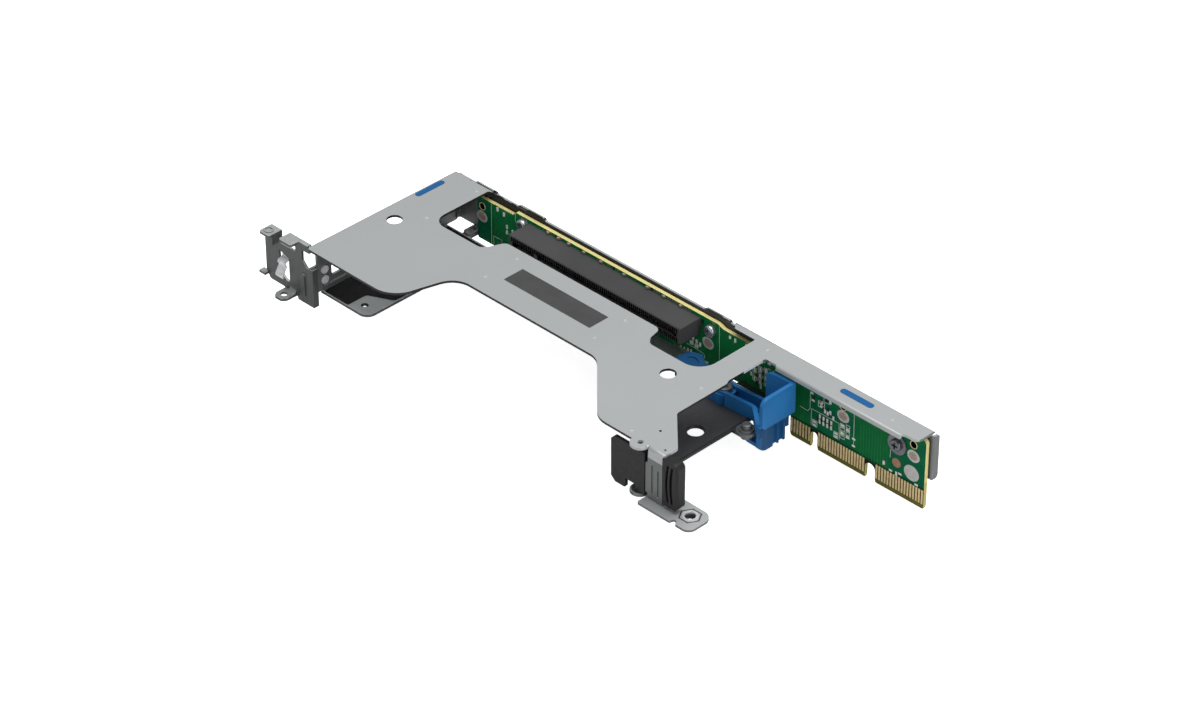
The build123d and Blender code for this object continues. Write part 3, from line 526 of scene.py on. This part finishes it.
def board_laminate():
    """Solder mask over traces on both faces, bare glass laminate on the cut edges."""
    c = colours()
    mat = finish_material("board_laminate", c.mask, 0, 0.4, 0.03)
    facing = maths(mat, "ABSOLUTE", normal_axes(mat)[1])
    face = maths(mat, "GREATER_THAN", facing, 0.6)
    trace = routed_traces(mat)
    green = blend_colours(mat, spread(mat, noise(mat, 34, 2), 0, 0.6), c.mask, c.mask_dark)
    # three zones over solid copper are a darker, bluer green
    zones = [inside(mat, zone) for zone in COPPER_ZONES]
    copper = maths(mat, "MAXIMUM", maths(mat, "MAXIMUM", zones[0], zones[1]), zones[2])
    for share, colour in (
        (product(mat, copper, 0.8), c.mask_dark),
        (product(mat, trace, 0.5), shades(c.mask, 1.45)),
        (product(mat, inside(mat, FINGER_BAND), 0.75), (0.004, 0.03, 0.018)),
        (inside(mat, FINGER_GAPS), (0.012, 0.012, 0.004)),
        # the bevel at the contacts shows olive laminate
        (inside(mat, BEVEL), (0.19, 0.16, 0.025)),
    ):
        green = blend_colours(mat, share, green, colour)
    weave = noise(mat, 1500, 2, (1, 1, 0.3))
    side = blend_colours(mat, spread(mat, weave, 0, 0.5), c.laminate, shades(c.laminate, 0.6))
    # painted shade: the walls of the holes are painted near black
    side = blend_colours(mat, inside(mat, HOLE_WALLS), side, (0.01, 0.008, 0.004))
    low = product(mat, inside(mat, LOWER_SIDE), 0.35)
    side = blend_colours(mat, low, side, (0.2, 0.17, 0.03))
    shader_link(mat, "Base Color", blend_colours(mat, face, side, green))
    shader_link(mat, "Roughness", spread(mat, face, 0.75, 0.42, 0, 1))
    relief(mat, trace, 0.35, 0.00004)
    return mat


def plated(name, colour, roughness, metallic):
    """Plated metal with fine wear."""
    mat = finish_material(name, colour, metallic, roughness)
    wear = noise(mat, 900, 3)
    shader_link(mat, "Base Color", mottled(mat, wear, colour, 0.82, 1.12))
    shader_link(mat, "Roughness", spread(mat, wear, roughness * 0.8, roughness * 1.25))
    return mat


def shaded_tin(name, colour, roughness, metallic):
    """Bright tin, dull in the shade along the board's upper edge."""
    mat = plated(name, colour, roughness, metallic)
    shade = inside(mat, UPPER_SHADE)
    tone = blend_colours(mat, shade, base_colour(mat), (0.17, 0.175, 0.15))
    shader_link(mat, "Base Color", tone)
    return mat


def striped(name, colour, line):
    """Bare metal with fine lines across it."""
    mat = finish_material(name, colour, 0.3, 0.5)
    height = axes(mat, object_place(mat))[2]
    bands = maths(mat, "SINE", product(mat, height, 9000.0))
    lines = spread(mat, bands, 0, 1, -0.2, 0.8)
    share = product(mat, lines, spread(mat, noise(mat, 900), 0.2, 1))
    shader_link(mat, "Base Color", blend_colours(mat, share, colour, line))
    relief(mat, bands, 0.1, 0.00003)
    return mat


def moulding(name, colour, roughness, specular=0.3):
    """Moulded plastic with a fine spark-eroded grain and slight tone changes."""
    mat = finish_material(name, colour, 0, roughness, specular)
    fine = noise(mat, 1100, 2)
    broad = noise(mat, 40, 2)
    shader_link(mat, "Base Color", mottled(mat, broad, colour, 0.88, 1.12))
    shader_link(mat, "Roughness", spread(mat, fine, roughness * 0.88, roughness * 1.14))
    relief(mat, fine, 0.25, 0.00004)
    return mat


def lever_moulding():
    """The blue moulding, with painted shade on the lobe and on the right side of the hook."""
    lever = colours().lever
    mat = moulding("blue_moulding", lever, 0.36)
    # painted shade: the lobe is painted darker
    lobe_shade = opposite(mat, along(mat, 147, 152))
    tone = blend_colours(mat, lobe_shade, base_colour(mat), shades(lever, 0.36))
    # painted shade: the right-facing side of the hook is painted darker
    right = spread(mat, normal_axes(mat)[0], 0, 1, 0.1, 0.7)
    hook_side_shade = product(mat, right, inside(mat, LEVER_HOOK))
    shader_link(mat, "Base Color", blend_colours(mat, hook_side_shade, tone, shades(lever, 0.42)))
    return mat


def slot_moulding():
    """The card slot's moulding, with painted shade that makes it black inside its cavities."""
    mat = moulding("slot_moulding", colours().housing, 0.5)
    # painted shade: inside the cavities the moulding is painted near black
    tone = blend_colours(mat, inside(mat, SLOT_INSIDE), base_colour(mat), (0.002, 0.002, 0.002))
    shader_link(mat, "Base Color", tone)
    return mat


def printed(name, colour):
    """Printed or stuck colour with a slight fade."""
    mat = finish_material(name, colour, 0, 0.5, 0.07)
    shader_link(mat, "Base Color", mottled(mat, noise(mat, 160, 3), colour, 0.9, 1.1))
    relief(mat, noise(mat, 1800, 1), 0.1, 0.00002)
    return mat


def paint(node, mat):
    """Puts a finish on a carried-over solid."""
    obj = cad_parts[node]
    obj.data.materials.clear()
    obj.data.materials.append(mat)
    return obj


def soften(obj, width, segments=2):
    """Rounds the sharp edges of a piece."""
    weld = obj.modifiers.new("weld", "WELD")
    weld.merge_threshold = 1e-6
    bevel = obj.modifiers.new("edge", "BEVEL")
    bevel.width = width
    bevel.segments = segments
    bevel.limit_method = "ANGLE"
    bevel.angle_limit = math.radians(35)
    bevel.use_clamp_overlap = True
    bevel.harden_normals = False
    bevel.miter_outer = "MITER_ARC"


def finished(mesh, mat, stands_for=()):
    """A new piece at the origin, on the riser's body, with its finish."""
    obj = bpy.data.objects.new(mesh.name, mesh)
    bpy.context.collection.objects.link(obj)
    mesh.materials.clear()
    mesh.materials.append(mat)
    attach(obj, "riser")
    if stands_for:
        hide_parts(*stands_for)
    return obj


def block(tree, start, place):
    """Geometry Nodes: a block of a stated size."""
    cube = tree.nodes.new("GeometryNodeMeshCube")
    tree.links.new(start.outputs["Block size"], cube.inputs["Size"])
    return cube.outputs["Mesh"]


def ring(tree, start, place):
    """Geometry Nodes: a round wire ring, turned as wanted."""
    circle = tree.nodes.new("GeometryNodeCurvePrimitiveCircle")
    circle.inputs["Resolution"].default_value = 40
    wire = tree.nodes.new("GeometryNodeCurvePrimitiveCircle")
    wire.inputs["Resolution"].default_value = 8
    sweep = tree.nodes.new("GeometryNodeCurveToMesh")
    link = tree.links.new
    link(start.outputs["Ring radius"], circle.inputs["Radius"])
    link(start.outputs["Wire radius"], wire.inputs["Radius"])
    link(circle.outputs["Curve"], sweep.inputs["Curve"])
    link(wire.outputs["Curve"], sweep.inputs["Profile Curve"])
    link(start.outputs["Turn"], place.inputs["Rotation"])
    return sweep.outputs["Mesh"]


BLOCK_INPUTS = (("Block size", "Vector"),)
RING_INPUTS = (("Ring radius", "Float"), ("Wire radius", "Float"), ("Turn", "Vector"))


def points_tree(name, inputs, piece):
    """Geometry Nodes: one piece on each point, made real, with its finish."""
    tree = bpy.data.node_groups.new(name, "GeometryNodeTree")
    face = tree.interface
    for title, kind in (("Points", "Geometry"), *inputs, ("Finish", "Material")):
        face.new_socket(title, in_out="INPUT", socket_type="NodeSocket" + kind)
    face.new_socket("Pieces", in_out="OUTPUT", socket_type="NodeSocketGeometry")
    start = tree.nodes.new("NodeGroupInput")
    points = tree.nodes.new("GeometryNodeMeshToPoints")
    place = tree.nodes.new("GeometryNodeInstanceOnPoints")
    real = tree.nodes.new("GeometryNodeRealizeInstances")
    finish = tree.nodes.new("GeometryNodeSetMaterial")
    end = tree.nodes.new("NodeGroupOutput")
    link = tree.links.new
    link(start.outputs["Points"], points.inputs["Mesh"])
    link(points.outputs["Points"], place.inputs["Points"])
    link(piece(tree, start, place), place.inputs["Instance"])
    link(place.outputs["Instances"], real.inputs["Geometry"])
    link(real.outputs["Geometry"], finish.inputs["Geometry"])
    link(start.outputs["Finish"], finish.inputs["Material"])
    link(finish.outputs["Geometry"], end.inputs["Pieces"])
    return tree


def grown(name, tree, points, values):
    """The plain mesh that a node tree makes on a set of points."""
    seed = bpy.data.meshes.new(name + "_points")
    seed.from_pydata([tuple(p) for p in points], [], [])
    carrier = bpy.data.objects.new(name + "_points", seed)
    bpy.context.collection.objects.link(carrier)
    nodes = carrier.modifiers.new("nodes", "NODES")
    nodes.node_group = tree
    names = {s.name: s.identifier for s in tree.interface.items_tree if s.in_out == "INPUT"}
    for key, value in values.items():
        nodes[names[key]] = value
    graph = bpy.context.evaluated_depsgraph_get()
    mesh = bpy.data.meshes.new_from_object(carrier.evaluated_get(graph), depsgraph=graph)
    mesh.name = name
    carrier.modifiers.remove(nodes)
    bpy.data.objects.remove(carrier)
    return mesh


def tree_named(name, *parts):
    """A node tree, made the first time that it is asked for."""
    return bpy.data.node_groups.get(name) or points_tree(name, *parts)


def blocks(name, points, size, mat, stands_for=()):
    """Like blocks at many points, from the block tree."""
    tree = tree_named("blocks_on_points", BLOCK_INPUTS, block)
    values = {"Block size": [s * MM for s in size], "Finish": mat}
    return finished(grown(name, tree, points, values), mat, stands_for)


def rings(name, points, radius, wire, mat, turn=0):
    """Rings at many points, from the ring tree: flat, or upright with a turn of 90."""
    tree = tree_named("rings_on_points", RING_INPUTS, ring)
    values = {
        "Ring radius": radius * MM,
        "Wire radius": wire * MM,
        "Turn": (math.radians(turn), 0, 0),
        "Finish": mat,
    }
    return finished(grown(name, tree, points, values), mat)


def on_board(places, out):
    """Points on the front of the board, a little in front of it."""
    return [spot(x, BOARD_FRONT - out, z) for x, z in places]


def scattered(count, across, up):
    """Places spread over a stretch of the board, always the same ones."""
    places = []
    for i in range(count):
        u, v = math.sin(i * 12.9898 + across[0]) * 43758.5453, math.sin(i * 78.233) * 12345.678
        u, v = u - math.floor(u), v - math.floor(v)
        places.append((across[0] + (across[1] - across[0]) * u, up[0] + (up[1] - up[0]) * v))
    return places


def plain_mesh(bm, name, recalculate=True):
    """The mesh of a finished shape, its faces pointing outwards."""
    if recalculate:
        bmesh.ops.recalc_face_normals(bm, faces=bm.faces)
    mesh = bpy.data.meshes.new(name)
    bm.to_mesh(mesh)
    bm.free()
    return mesh


def sides(bm, low, high):
    """Faces between two closed rows of vertices."""
    for i in range(len(low)):
        j = (i + 1) % len(low)
        bm.faces.new((low[i], low[j], high[j], high[i]))


def disc_mesh(name, centres, across, up, depth, steps=36):
    """Flat oval pads on the front of the board, each with a low rounded edge."""
    bm = bmesh.new()
    for x, z in centres:
        rows = []
        for share, out in ((1.0, 0.0), (0.97, depth * 0.7), (0.9, depth)):
            row = []
            for i in range(steps):
                a = 2 * math.pi * i / steps
                right, high = across * share * math.cos(a), up * share * math.sin(a)
                row.append(bm.verts.new(spot(x + right, BOARD_FRONT - out, z + high)))
            rows.append(row)
        for low, high in zip(rows, rows[1:]):
            sides(bm, low, high)
        bm.faces.new(rows[-1])
    return plain_mesh(bm, name, recalculate=False)


def prism_mesh(name, outlines, low, high):
    """Upright prisms, each on an outline of X and Y points, between two heights."""
    bm = bmesh.new()
    for outline in outlines:
        lower = [bm.verts.new(spot(x, y, low)) for x, y in outline]
        upper = [bm.verts.new(spot(x, y, high)) for x, y in outline]
        bm.faces.new(lower)
        bm.faces.new(upper)
        sides(bm, lower, upper)
    return plain_mesh(bm, name)


def line_mesh(name, runs, width, y, depth=0.02, flat=False):
    """Lines on the front of the board, or flat at a height, each a run of points."""
    bm = bmesh.new()
    for run in runs:
        for (x0, z0), (x1, z1) in zip(run, run[1:]):
            along = Vector((x1 - x0, 0, z1 - z0)).normalized() * (width / 2)
            across = Vector((-along.z, 0, along.x))
            a, b = Vector((x0, y, z0)) - along, Vector((x1, y, z1)) + along
            low = [a - across, b - across, b + across, a + across]
            high = [p + Vector((0, -depth, 0)) for p in low]
            if flat:
                low = [Vector((p.x, p.z, y)) for p in low]
                high = [p + Vector((0, 0, depth)) for p in low]
            lower, upper = ([bm.verts.new(spot(*p)) for p in row] for row in (low, high))
            bm.faces.new(upper)
            sides(bm, lower, upper)
    return plain_mesh(bm, name)


def floor_height():
    """Height of the floor: just under the lowest solid."""
    return min(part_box(n)[0].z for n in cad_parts) - FLOOR_DROP


class Dresser(bpy.types.Operator):
    """What all the riser's operators share."""

    bl_options = {"REGISTER"}


class RISER_OT_stage(Dresser):
    """Floor, backdrop light, lamps and the camera at the photo's angle"""

    bl_idname = "riser.stage"
    bl_label = "Stage"

    def execute(self, context):
        self.floor(context)
        self.sky(context)
        for lamp in LAMPS:
            self.lamp(context, *lamp)
        self.camera(context)
        context.scene.view_settings.view_transform = "Standard"
        return {"FINISHED"}

    def floor(self, context):
        """A plain pale floor that takes shadows, white where the camera looks."""
        mesh = bpy.data.meshes.new("floor")
        size, low = FLOOR_HALF, floor_height()
        corners = [(-size, -size, low), (size, -size, low), (size, size, low), (-size, size, low)]
        mesh.from_pydata(corners, [], [(0, 1, 2, 3)])
        floor = bpy.data.objects.new("floor", mesh)
        context.collection.objects.link(floor)
        mat = finish_material("pale_floor", (0.8, 0.8, 0.8), 0, 0.9, 0.0)
        shader_of(mat).inputs["Emission Color"].default_value = (1, 1, 1, 1)
        seen = add(mat, "ShaderNodeLightPath").outputs["Is Camera Ray"]
        shader_link(mat, "Emission Strength", product(mat, seen, FLOOR_GLOW))
        mesh.materials.append(mat)
        floor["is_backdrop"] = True

    def sky(self, context):
        """Plain grey light all round, white where the camera looks."""
        world = bpy.data.worlds.new("plain_sky")
        context.scene.world = world
        world.use_nodes = True
        back = world.node_tree.nodes["Background"]
        back.inputs["Color"].default_value = (1, 1, 1, 1)
        seen = add(world, "ShaderNodeLightPath").outputs["Is Camera Ray"]
        level = spread(world, seen, SKY_LIGHT, 1.0, 0, 1)
        feed(world, back.inputs["Strength"], level)

    def lamp(self, context, name, place, target, size, power):
        """A round soft lamp that looks at its target."""
        data = bpy.data.lights.new(name, "AREA")
        data.shape = "DISK"
        data.size = size
        data.energy = power
        lamp = bpy.data.objects.new(name, data)
        context.collection.objects.link(lamp)
        self.aim(lamp, place, Vector(target) - Vector(place))

    def camera(self, context):
        """The camera at the photo's angle, with a long lens."""
        data = bpy.data.cameras.new("camera")
        data.lens = CAMERA_LENS
        data.sensor_width = 36
        data.clip_end = 20
        camera = bpy.data.objects.new("camera", data)
        context.collection.objects.link(camera)
        self.aim(camera, CAMERA_PLACE, Vector(CAMERA_LOOK))
        context.scene.camera = camera

    def aim(self, obj, place, direction):
        """Puts a lamp or the camera at its place and turns it."""
        obj.location = place
        obj.rotation_mode = "QUATERNION"
        obj.rotation_quaternion = direction.to_track_quat("-Z", "Y")


class RISER_OT_sheet_metal(Dresser):
    """Finishes of the cage, the base plate and the films"""

    bl_idname = "riser.sheet_metal"
    bl_label = "Sheet metal"

    def execute(self, context):
        steel = sheet_steel()
        for node in ("cage", "base_plate"):
            soften(paint(node, steel), sizes().sheet_round, 1)
        film = black_film()
        for node in ("base_film", "rear_film"):
            paint(node, film)
        mesh = prism_mesh("base_lip", self.outlines(BASE_TONGUES), BASE_TOP - 0.3, BASE_TOP)
        finished(mesh, steel)
        mesh = prism_mesh("film_lip", self.outlines(FILM_TONGUES), BASE_TOP, FILM_TOP)
        finished(mesh, moulding("lip_black", (0.004, 0.014, 0.008), 0.7))
        mesh = prism_mesh("corner_post", [POST], BASE_TOP + 1, PLATE_UNDER - 0.2)
        finished(mesh, steel)
        # painted highlight: pale rings on the rims of the tooling dots
        rims = [spot(x, y, -0.085) for x, y in DOTS]
        pale = plated("dot_highlight", shades(colours().steel, 1.35), 0.4, 0.3)
        rings("dot_highlight_rings", rims, 0.62, 0.09, pale)
        return {"FINISHED"}

    def outlines(self, tongues):
        """Tongues with cut back corners, from the base plate's edge towards the board."""
        start, corner = -3.7, 0.5
        return [
            [
                (left, start), (right, start), (right, back - corner), (right - corner, back),
                (left + corner, back), (left, back - corner),
            ]
            for left, right, back in tongues
        ]


class RISER_OT_rear_bracket(Dresser):
    """Finishes of the rear bracket, its rivets and its spring tongue"""

    bl_idname = "riser.rear_bracket"
    bl_label = "Rear bracket"

    def execute(self, context):
        soften(paint("rear_bracket", bracket_steel()), sizes().sheet_round, 1)
        bright = plated("bright_steel", (0.85, 0.86, 0.87), 0.35, 0.3)
        paint("bracket_spring", bright)
        paint("bracket_rivets", bright)
        return {"FINISHED"}


class RISER_OT_board(Dresser):
    """Finishes of the riser board and its edge contacts"""

    bl_idname = "riser.board"
    bl_label = "Riser board"

    def execute(self, context):
        paint("riser_board", board_laminate())
        gold = plated("gold_plating", colours().gold, 0.34, 0.5)
        paint("contacts_front", gold)
        paint("contacts_back", gold)
        return {"FINISHED"}


class RISER_OT_board_pads(Dresser):
    """Plated rings, oval pads and vias on the front of the board"""

    bl_idname = "riser.board_pads"
    bl_label = "Board pads"

    def execute(self, context):
        gold = bpy.data.materials["gold_plating"]
        rings("hole_rings", on_board(HOLES, 0), 1.55, 0.16, gold, turn=90)
        tin = plated("tinned_copper", (0.56, 0.555, 0.55), 0.4, 0.3)
        copper = striped("bare_copper", (0.33, 0.22, 0.16), (0.62, 0.59, 0.54))
        pink = plated("exposed_copper", (0.42, 0.2, 0.12), 0.5, 0.2)
        for name, centres, across, up, depth, mat, slot in (
            ("pad_rims", OVAL_PADS, 2.9, 2.5, 0.05, tin, "screw_steel"),
            ("pad_middles", OVAL_PADS, 2.0, 1.6, 0.09, copper, "gold"),
            ("large_pad", LARGE_PAD, 3.5, 3.2, 0.05, tin, "screw_steel"),
            ("copper_pad", COPPER_PAD, 2.0, 1.9, 0.05, pink, "gold"),
        ):
            finished(disc_mesh(name, centres, across, up, depth), mat)
        vias = on_board(scattered(40, (157.0, 170.0), (-18.5, -8.5)), 0.03)
        side = sizes().via_size / MM
        blocks("vias", vias, (side, 0.06, side), tin)
        pale = shaded_tin("levelled_tin", (0.8, 0.82, 0.76), 0.45, 0.1)
        for name, (width, height), places in PADS:
            blocks(name, on_board(places, 0.04), (width, 0.09, height), pale)
        black = moulding("chip_black", (0.01, 0.01, 0.011), 0.4)
        blocks("small_dark_parts", on_board(DARKS, 0.12), (0.75, 0.24, 1.5), black)
        return {"FINISHED"}


class RISER_OT_board_print(Dresser):
    """Printed lines, part outlines and traces on the board"""

    bl_idname = "riser.board_print"
    bl_label = "Board print"

    def execute(self, context):
        white = printed("white_ink", (0.62, 0.68, 0.6))
        green = printed("trace_mask", (0.011, 0.205, 0.055))
        width = sizes().mark_width / MM
        mesh = line_mesh("printed_lines", PRINTED, width, BOARD_FRONT)
        finished(mesh, white)
        mesh = line_mesh("part_outlines", PART_BOXES, width * 1.2, BOARD_FRONT)
        finished(mesh, white)
        mesh = line_mesh("trace_lines", self.traces(), 0.34, BOARD_FRONT, 0.012)
        finished(mesh, green)
        return {"FINISHED"}

    def traces(self):
        """Three groups of traces: a fan of bent ones and two sets of straight ones."""
        runs = []
        bend = 2.6
        for i in range(10):
            x, top = 209.6 + 1.36 * i, -9.4
            turn = [
                (x - bend + bend * math.sin(a), top - bend + bend * math.cos(a))
                for a in (0, 0.4, 0.8, 1.2, math.pi / 2)
            ]
            runs.append(turn + [(x, -24.6)])
        for i in range(9):
            x = 23.0 + 1.1 * i
            runs.append([(x, -4.2), (x, -17.4 + 0.5 * (i % 3))])
        for i in range(8):
            x = 173.0 + 1.3 * i
            runs.append([(x, -9.6), (x, -24.4)])
        return runs


class RISER_OT_chips(Dresser):
    """Chip capacitors and resistors with their soldered ends"""

    bl_idname = "riser.chips"
    bl_label = "Chips"

    def execute(self, context):
        tan = moulding("ceramic_body", (0.36, 0.29, 0.2), 0.5)
        pale = moulding("resistor_body", (0.86, 0.88, 0.84), 0.4)
        solder = shaded_tin("solder", (0.82, 0.82, 0.8), 0.35, 0.25)
        size = (1.0, 0.76, 0.76)
        points = on_board(CAPACITORS, 0.39)
        blocks("capacitor_bodies", points, size, tan, ("capacitors",))
        ends = [(x + s * 0.62, z) for x, z in CAPACITORS for s in (-1, 1)]
        blocks("capacitor_ends", on_board(ends, 0.39), (0.32, 0.78, 0.8), solder)
        size = (0.76, 0.4, 1.0)
        points = on_board(RESISTORS, 0.22)
        blocks("resistor_bodies", points, size, pale, ("resistors",))
        ends = [(x, z + s * 0.62) for x, z in RESISTORS for s in (-1, 1)]
        blocks("resistor_ends", on_board(ends, 0.22), (0.8, 0.44, 0.34), solder)
        return {"FINISHED"}


class RISER_OT_card_slot(Dresser):
    """Finish of the card slot, its contacts and the ribs between them"""

    bl_idname = "riser.card_slot"
    bl_label = "Card slot"

    def execute(self, context):
        s = sizes()
        paint("card_slot_housing", slot_moulding())
        paint("card_slot_contacts", plated("slot_spring", (0.3, 0.25, 0.16), 0.4, 0.7))
        pitch = s.rib_pitch / MM
        start = SLOT_CENTRE - (s.rib_count - 1) / 2 * pitch
        # the ribs stand between the mouths, half a pitch away
        places = [
            spot(start + (i + 0.5) * pitch, SLOT_FACE + 4.6, SLOT_MID + side * 1.65)
            for side in (-1, 1)
            for i in range(s.rib_count - 1)
        ]
        # painted light: the ribs are a lighter copy of the housing's colour
        ribs = moulding("slot_ribs", shades(colours().housing, 1.3), 0.5)
        blocks("slot_ribs", places, (s.rib_width / MM, 9.0, 1.5), ribs)
        # painted shade: near-black blocks in the mouths of the cavities
        mouths = [
            spot(start + i * pitch, SLOT_FACE, SLOT_MID + side * 1.98)
            for side in (-1, 1)
            for i in range(-2, s.rib_count + 2)
        ]
        dark = moulding("cavity_shade", (0.001, 0.001, 0.001), 0.9, 0.0)
        blocks("cavity_shade_blocks", mouths, (pitch - 0.32, 0.04, 2.0), dark)
        return {"FINISHED"}


class RISER_OT_screws(Dresser):
    """Finish of the screws, the pin, the standoffs and the clinch nut"""

    bl_idname = "riser.screws"
    bl_label = "Screws"

    def execute(self, context):
        bright = plated("plated_screw", (0.6, 0.62, 0.66), 0.24, 0.9)
        for node in ("board_screws", "board_standoffs"):
            paint(node, bright)
        paint("board_end_screw", plated("grey_chrome", (0.17, 0.175, 0.19), 0.3, 0.8))
        dull = plated("blackened_screw", (0.17, 0.175, 0.18), 0.34, 0.6)
        for node in ("latch_pivot_screw", "stop_pin"):
            soften(paint(node, dull), 0.0001, 1)
        nut = plated("nut_steel", (0.66, 0.68, 0.69), 0.35, 0.3)
        soften(paint("foot_nut", nut), 0.0001, 1)
        shade = plated("thread_shade", (0.05, 0.05, 0.052), 0.5, 0.6)
        # painted shade: dark rings inside the hole in the base's ear
        hole_shade_rings = [spot(*EAR_HOLE, BASE_TOP - depth) for depth in (0.35, 0.7)]
        rings("ear_hole_shade", hole_shade_rings, 1.15, 0.3, shade)
        # painted shade: dark rings in the nut's bore mark its threads and the shade in them
        low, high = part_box("foot_nut")
        threads = [
            Vector(((low.x + high.x) / 2, (low.y + high.y) / 2, low.z + (high.z - low.z) * k))
            for k in (0.12, 0.3, 0.48, 0.66)
        ]
        rings("nut_threads", threads, 1.88, 0.3, shade)
        x, y = NUT
        corners = [
            (x + 4.1 * math.cos(math.radians(a)), y + 4.1 * math.sin(math.radians(a)))
            for a in range(0, 361, 60)
        ]
        groove = line_mesh("nut_groove", [corners], 0.45, BASE_TOP, flat=True)
        finished(groove, shade)
        return {"FINISHED"}


class RISER_OT_mouldings(Dresser):
    """Finish of the blue lever and the black card end guide"""

    bl_idname = "riser.mouldings"
    bl_label = "Mouldings"

    def execute(self, context):
        blue = lever_moulding()
        soften(paint("release_latch", blue), sizes().edge_round)
        black = moulding("black_moulding", colours().guide, 0.5)
        soften(paint("card_end_guide", black), sizes().edge_round)
        return {"FINISHED"}


class RISER_OT_labels(Dresser):
    """Finish of the bare label and the two blue touch marks"""

    bl_idname = "riser.labels"
    bl_label = "Labels"

    def execute(self, context):
        paint("plate_label", printed("label_ink", colours().label))
        blue = printed("touch_ink", colours().touch)
        paint("touch_mark_left", blue)
        paint("touch_mark_rail", blue)
        return {"FINISHED"}


OPERATORS = (
    RISER_OT_stage,
    RISER_OT_sheet_metal,
    RISER_OT_rear_bracket,
    RISER_OT_board,
    RISER_OT_board_pads,
    RISER_OT_board_print,
    RISER_OT_chips,
    RISER_OT_card_slot,
    RISER_OT_screws,
    RISER_OT_mouldings,
    RISER_OT_labels,
)


class RISER_PT_panel(bpy.types.Panel):
    """Lists the riser's operators, sizes and colours"""

    bl_label = "Server riser"
    bl_idname = "RISER_PT_panel"
    bl_space_type = "VIEW_3D"
    bl_region_type = "UI"
    bl_category = "Riser"

    def draw(self, context):
        column = self.layout.column()
        for operator in OPERATORS:
            column.operator(operator.bl_idname)
        for group in (context.scene.riser_sizes, context.scene.riser_colours):
            for name in group.__annotations__:
                column.prop(group, name)


CLASSES = (RiserSizes, RiserColours, *OPERATORS, RISER_PT_panel)


def register():
    """Makes the groups, operators and panel known."""
    for item in CLASSES:
        bpy.utils.register_class(item)
    bpy.types.Scene.riser_sizes = PointerProperty(type=RiserSizes)
    bpy.types.Scene.riser_colours = PointerProperty(type=RiserColours)


def unregister():
    """Takes them out again, last first."""
    del bpy.types.Scene.riser_colours
    del bpy.types.Scene.riser_sizes
    for item in reversed(CLASSES):
        bpy.utils.unregister_class(item)


def corners():
    """The shown object's box as plain lists."""
    return [[float(v) for v in corner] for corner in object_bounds()]


def main():
    """Dresses the solids."""
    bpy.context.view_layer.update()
    register()
    for operator in OPERATORS:
        group, name = operator.bl_idname.split(".")
        getattr(getattr(bpy.ops, group), name)()


if __name__ == "__main__":
    main()
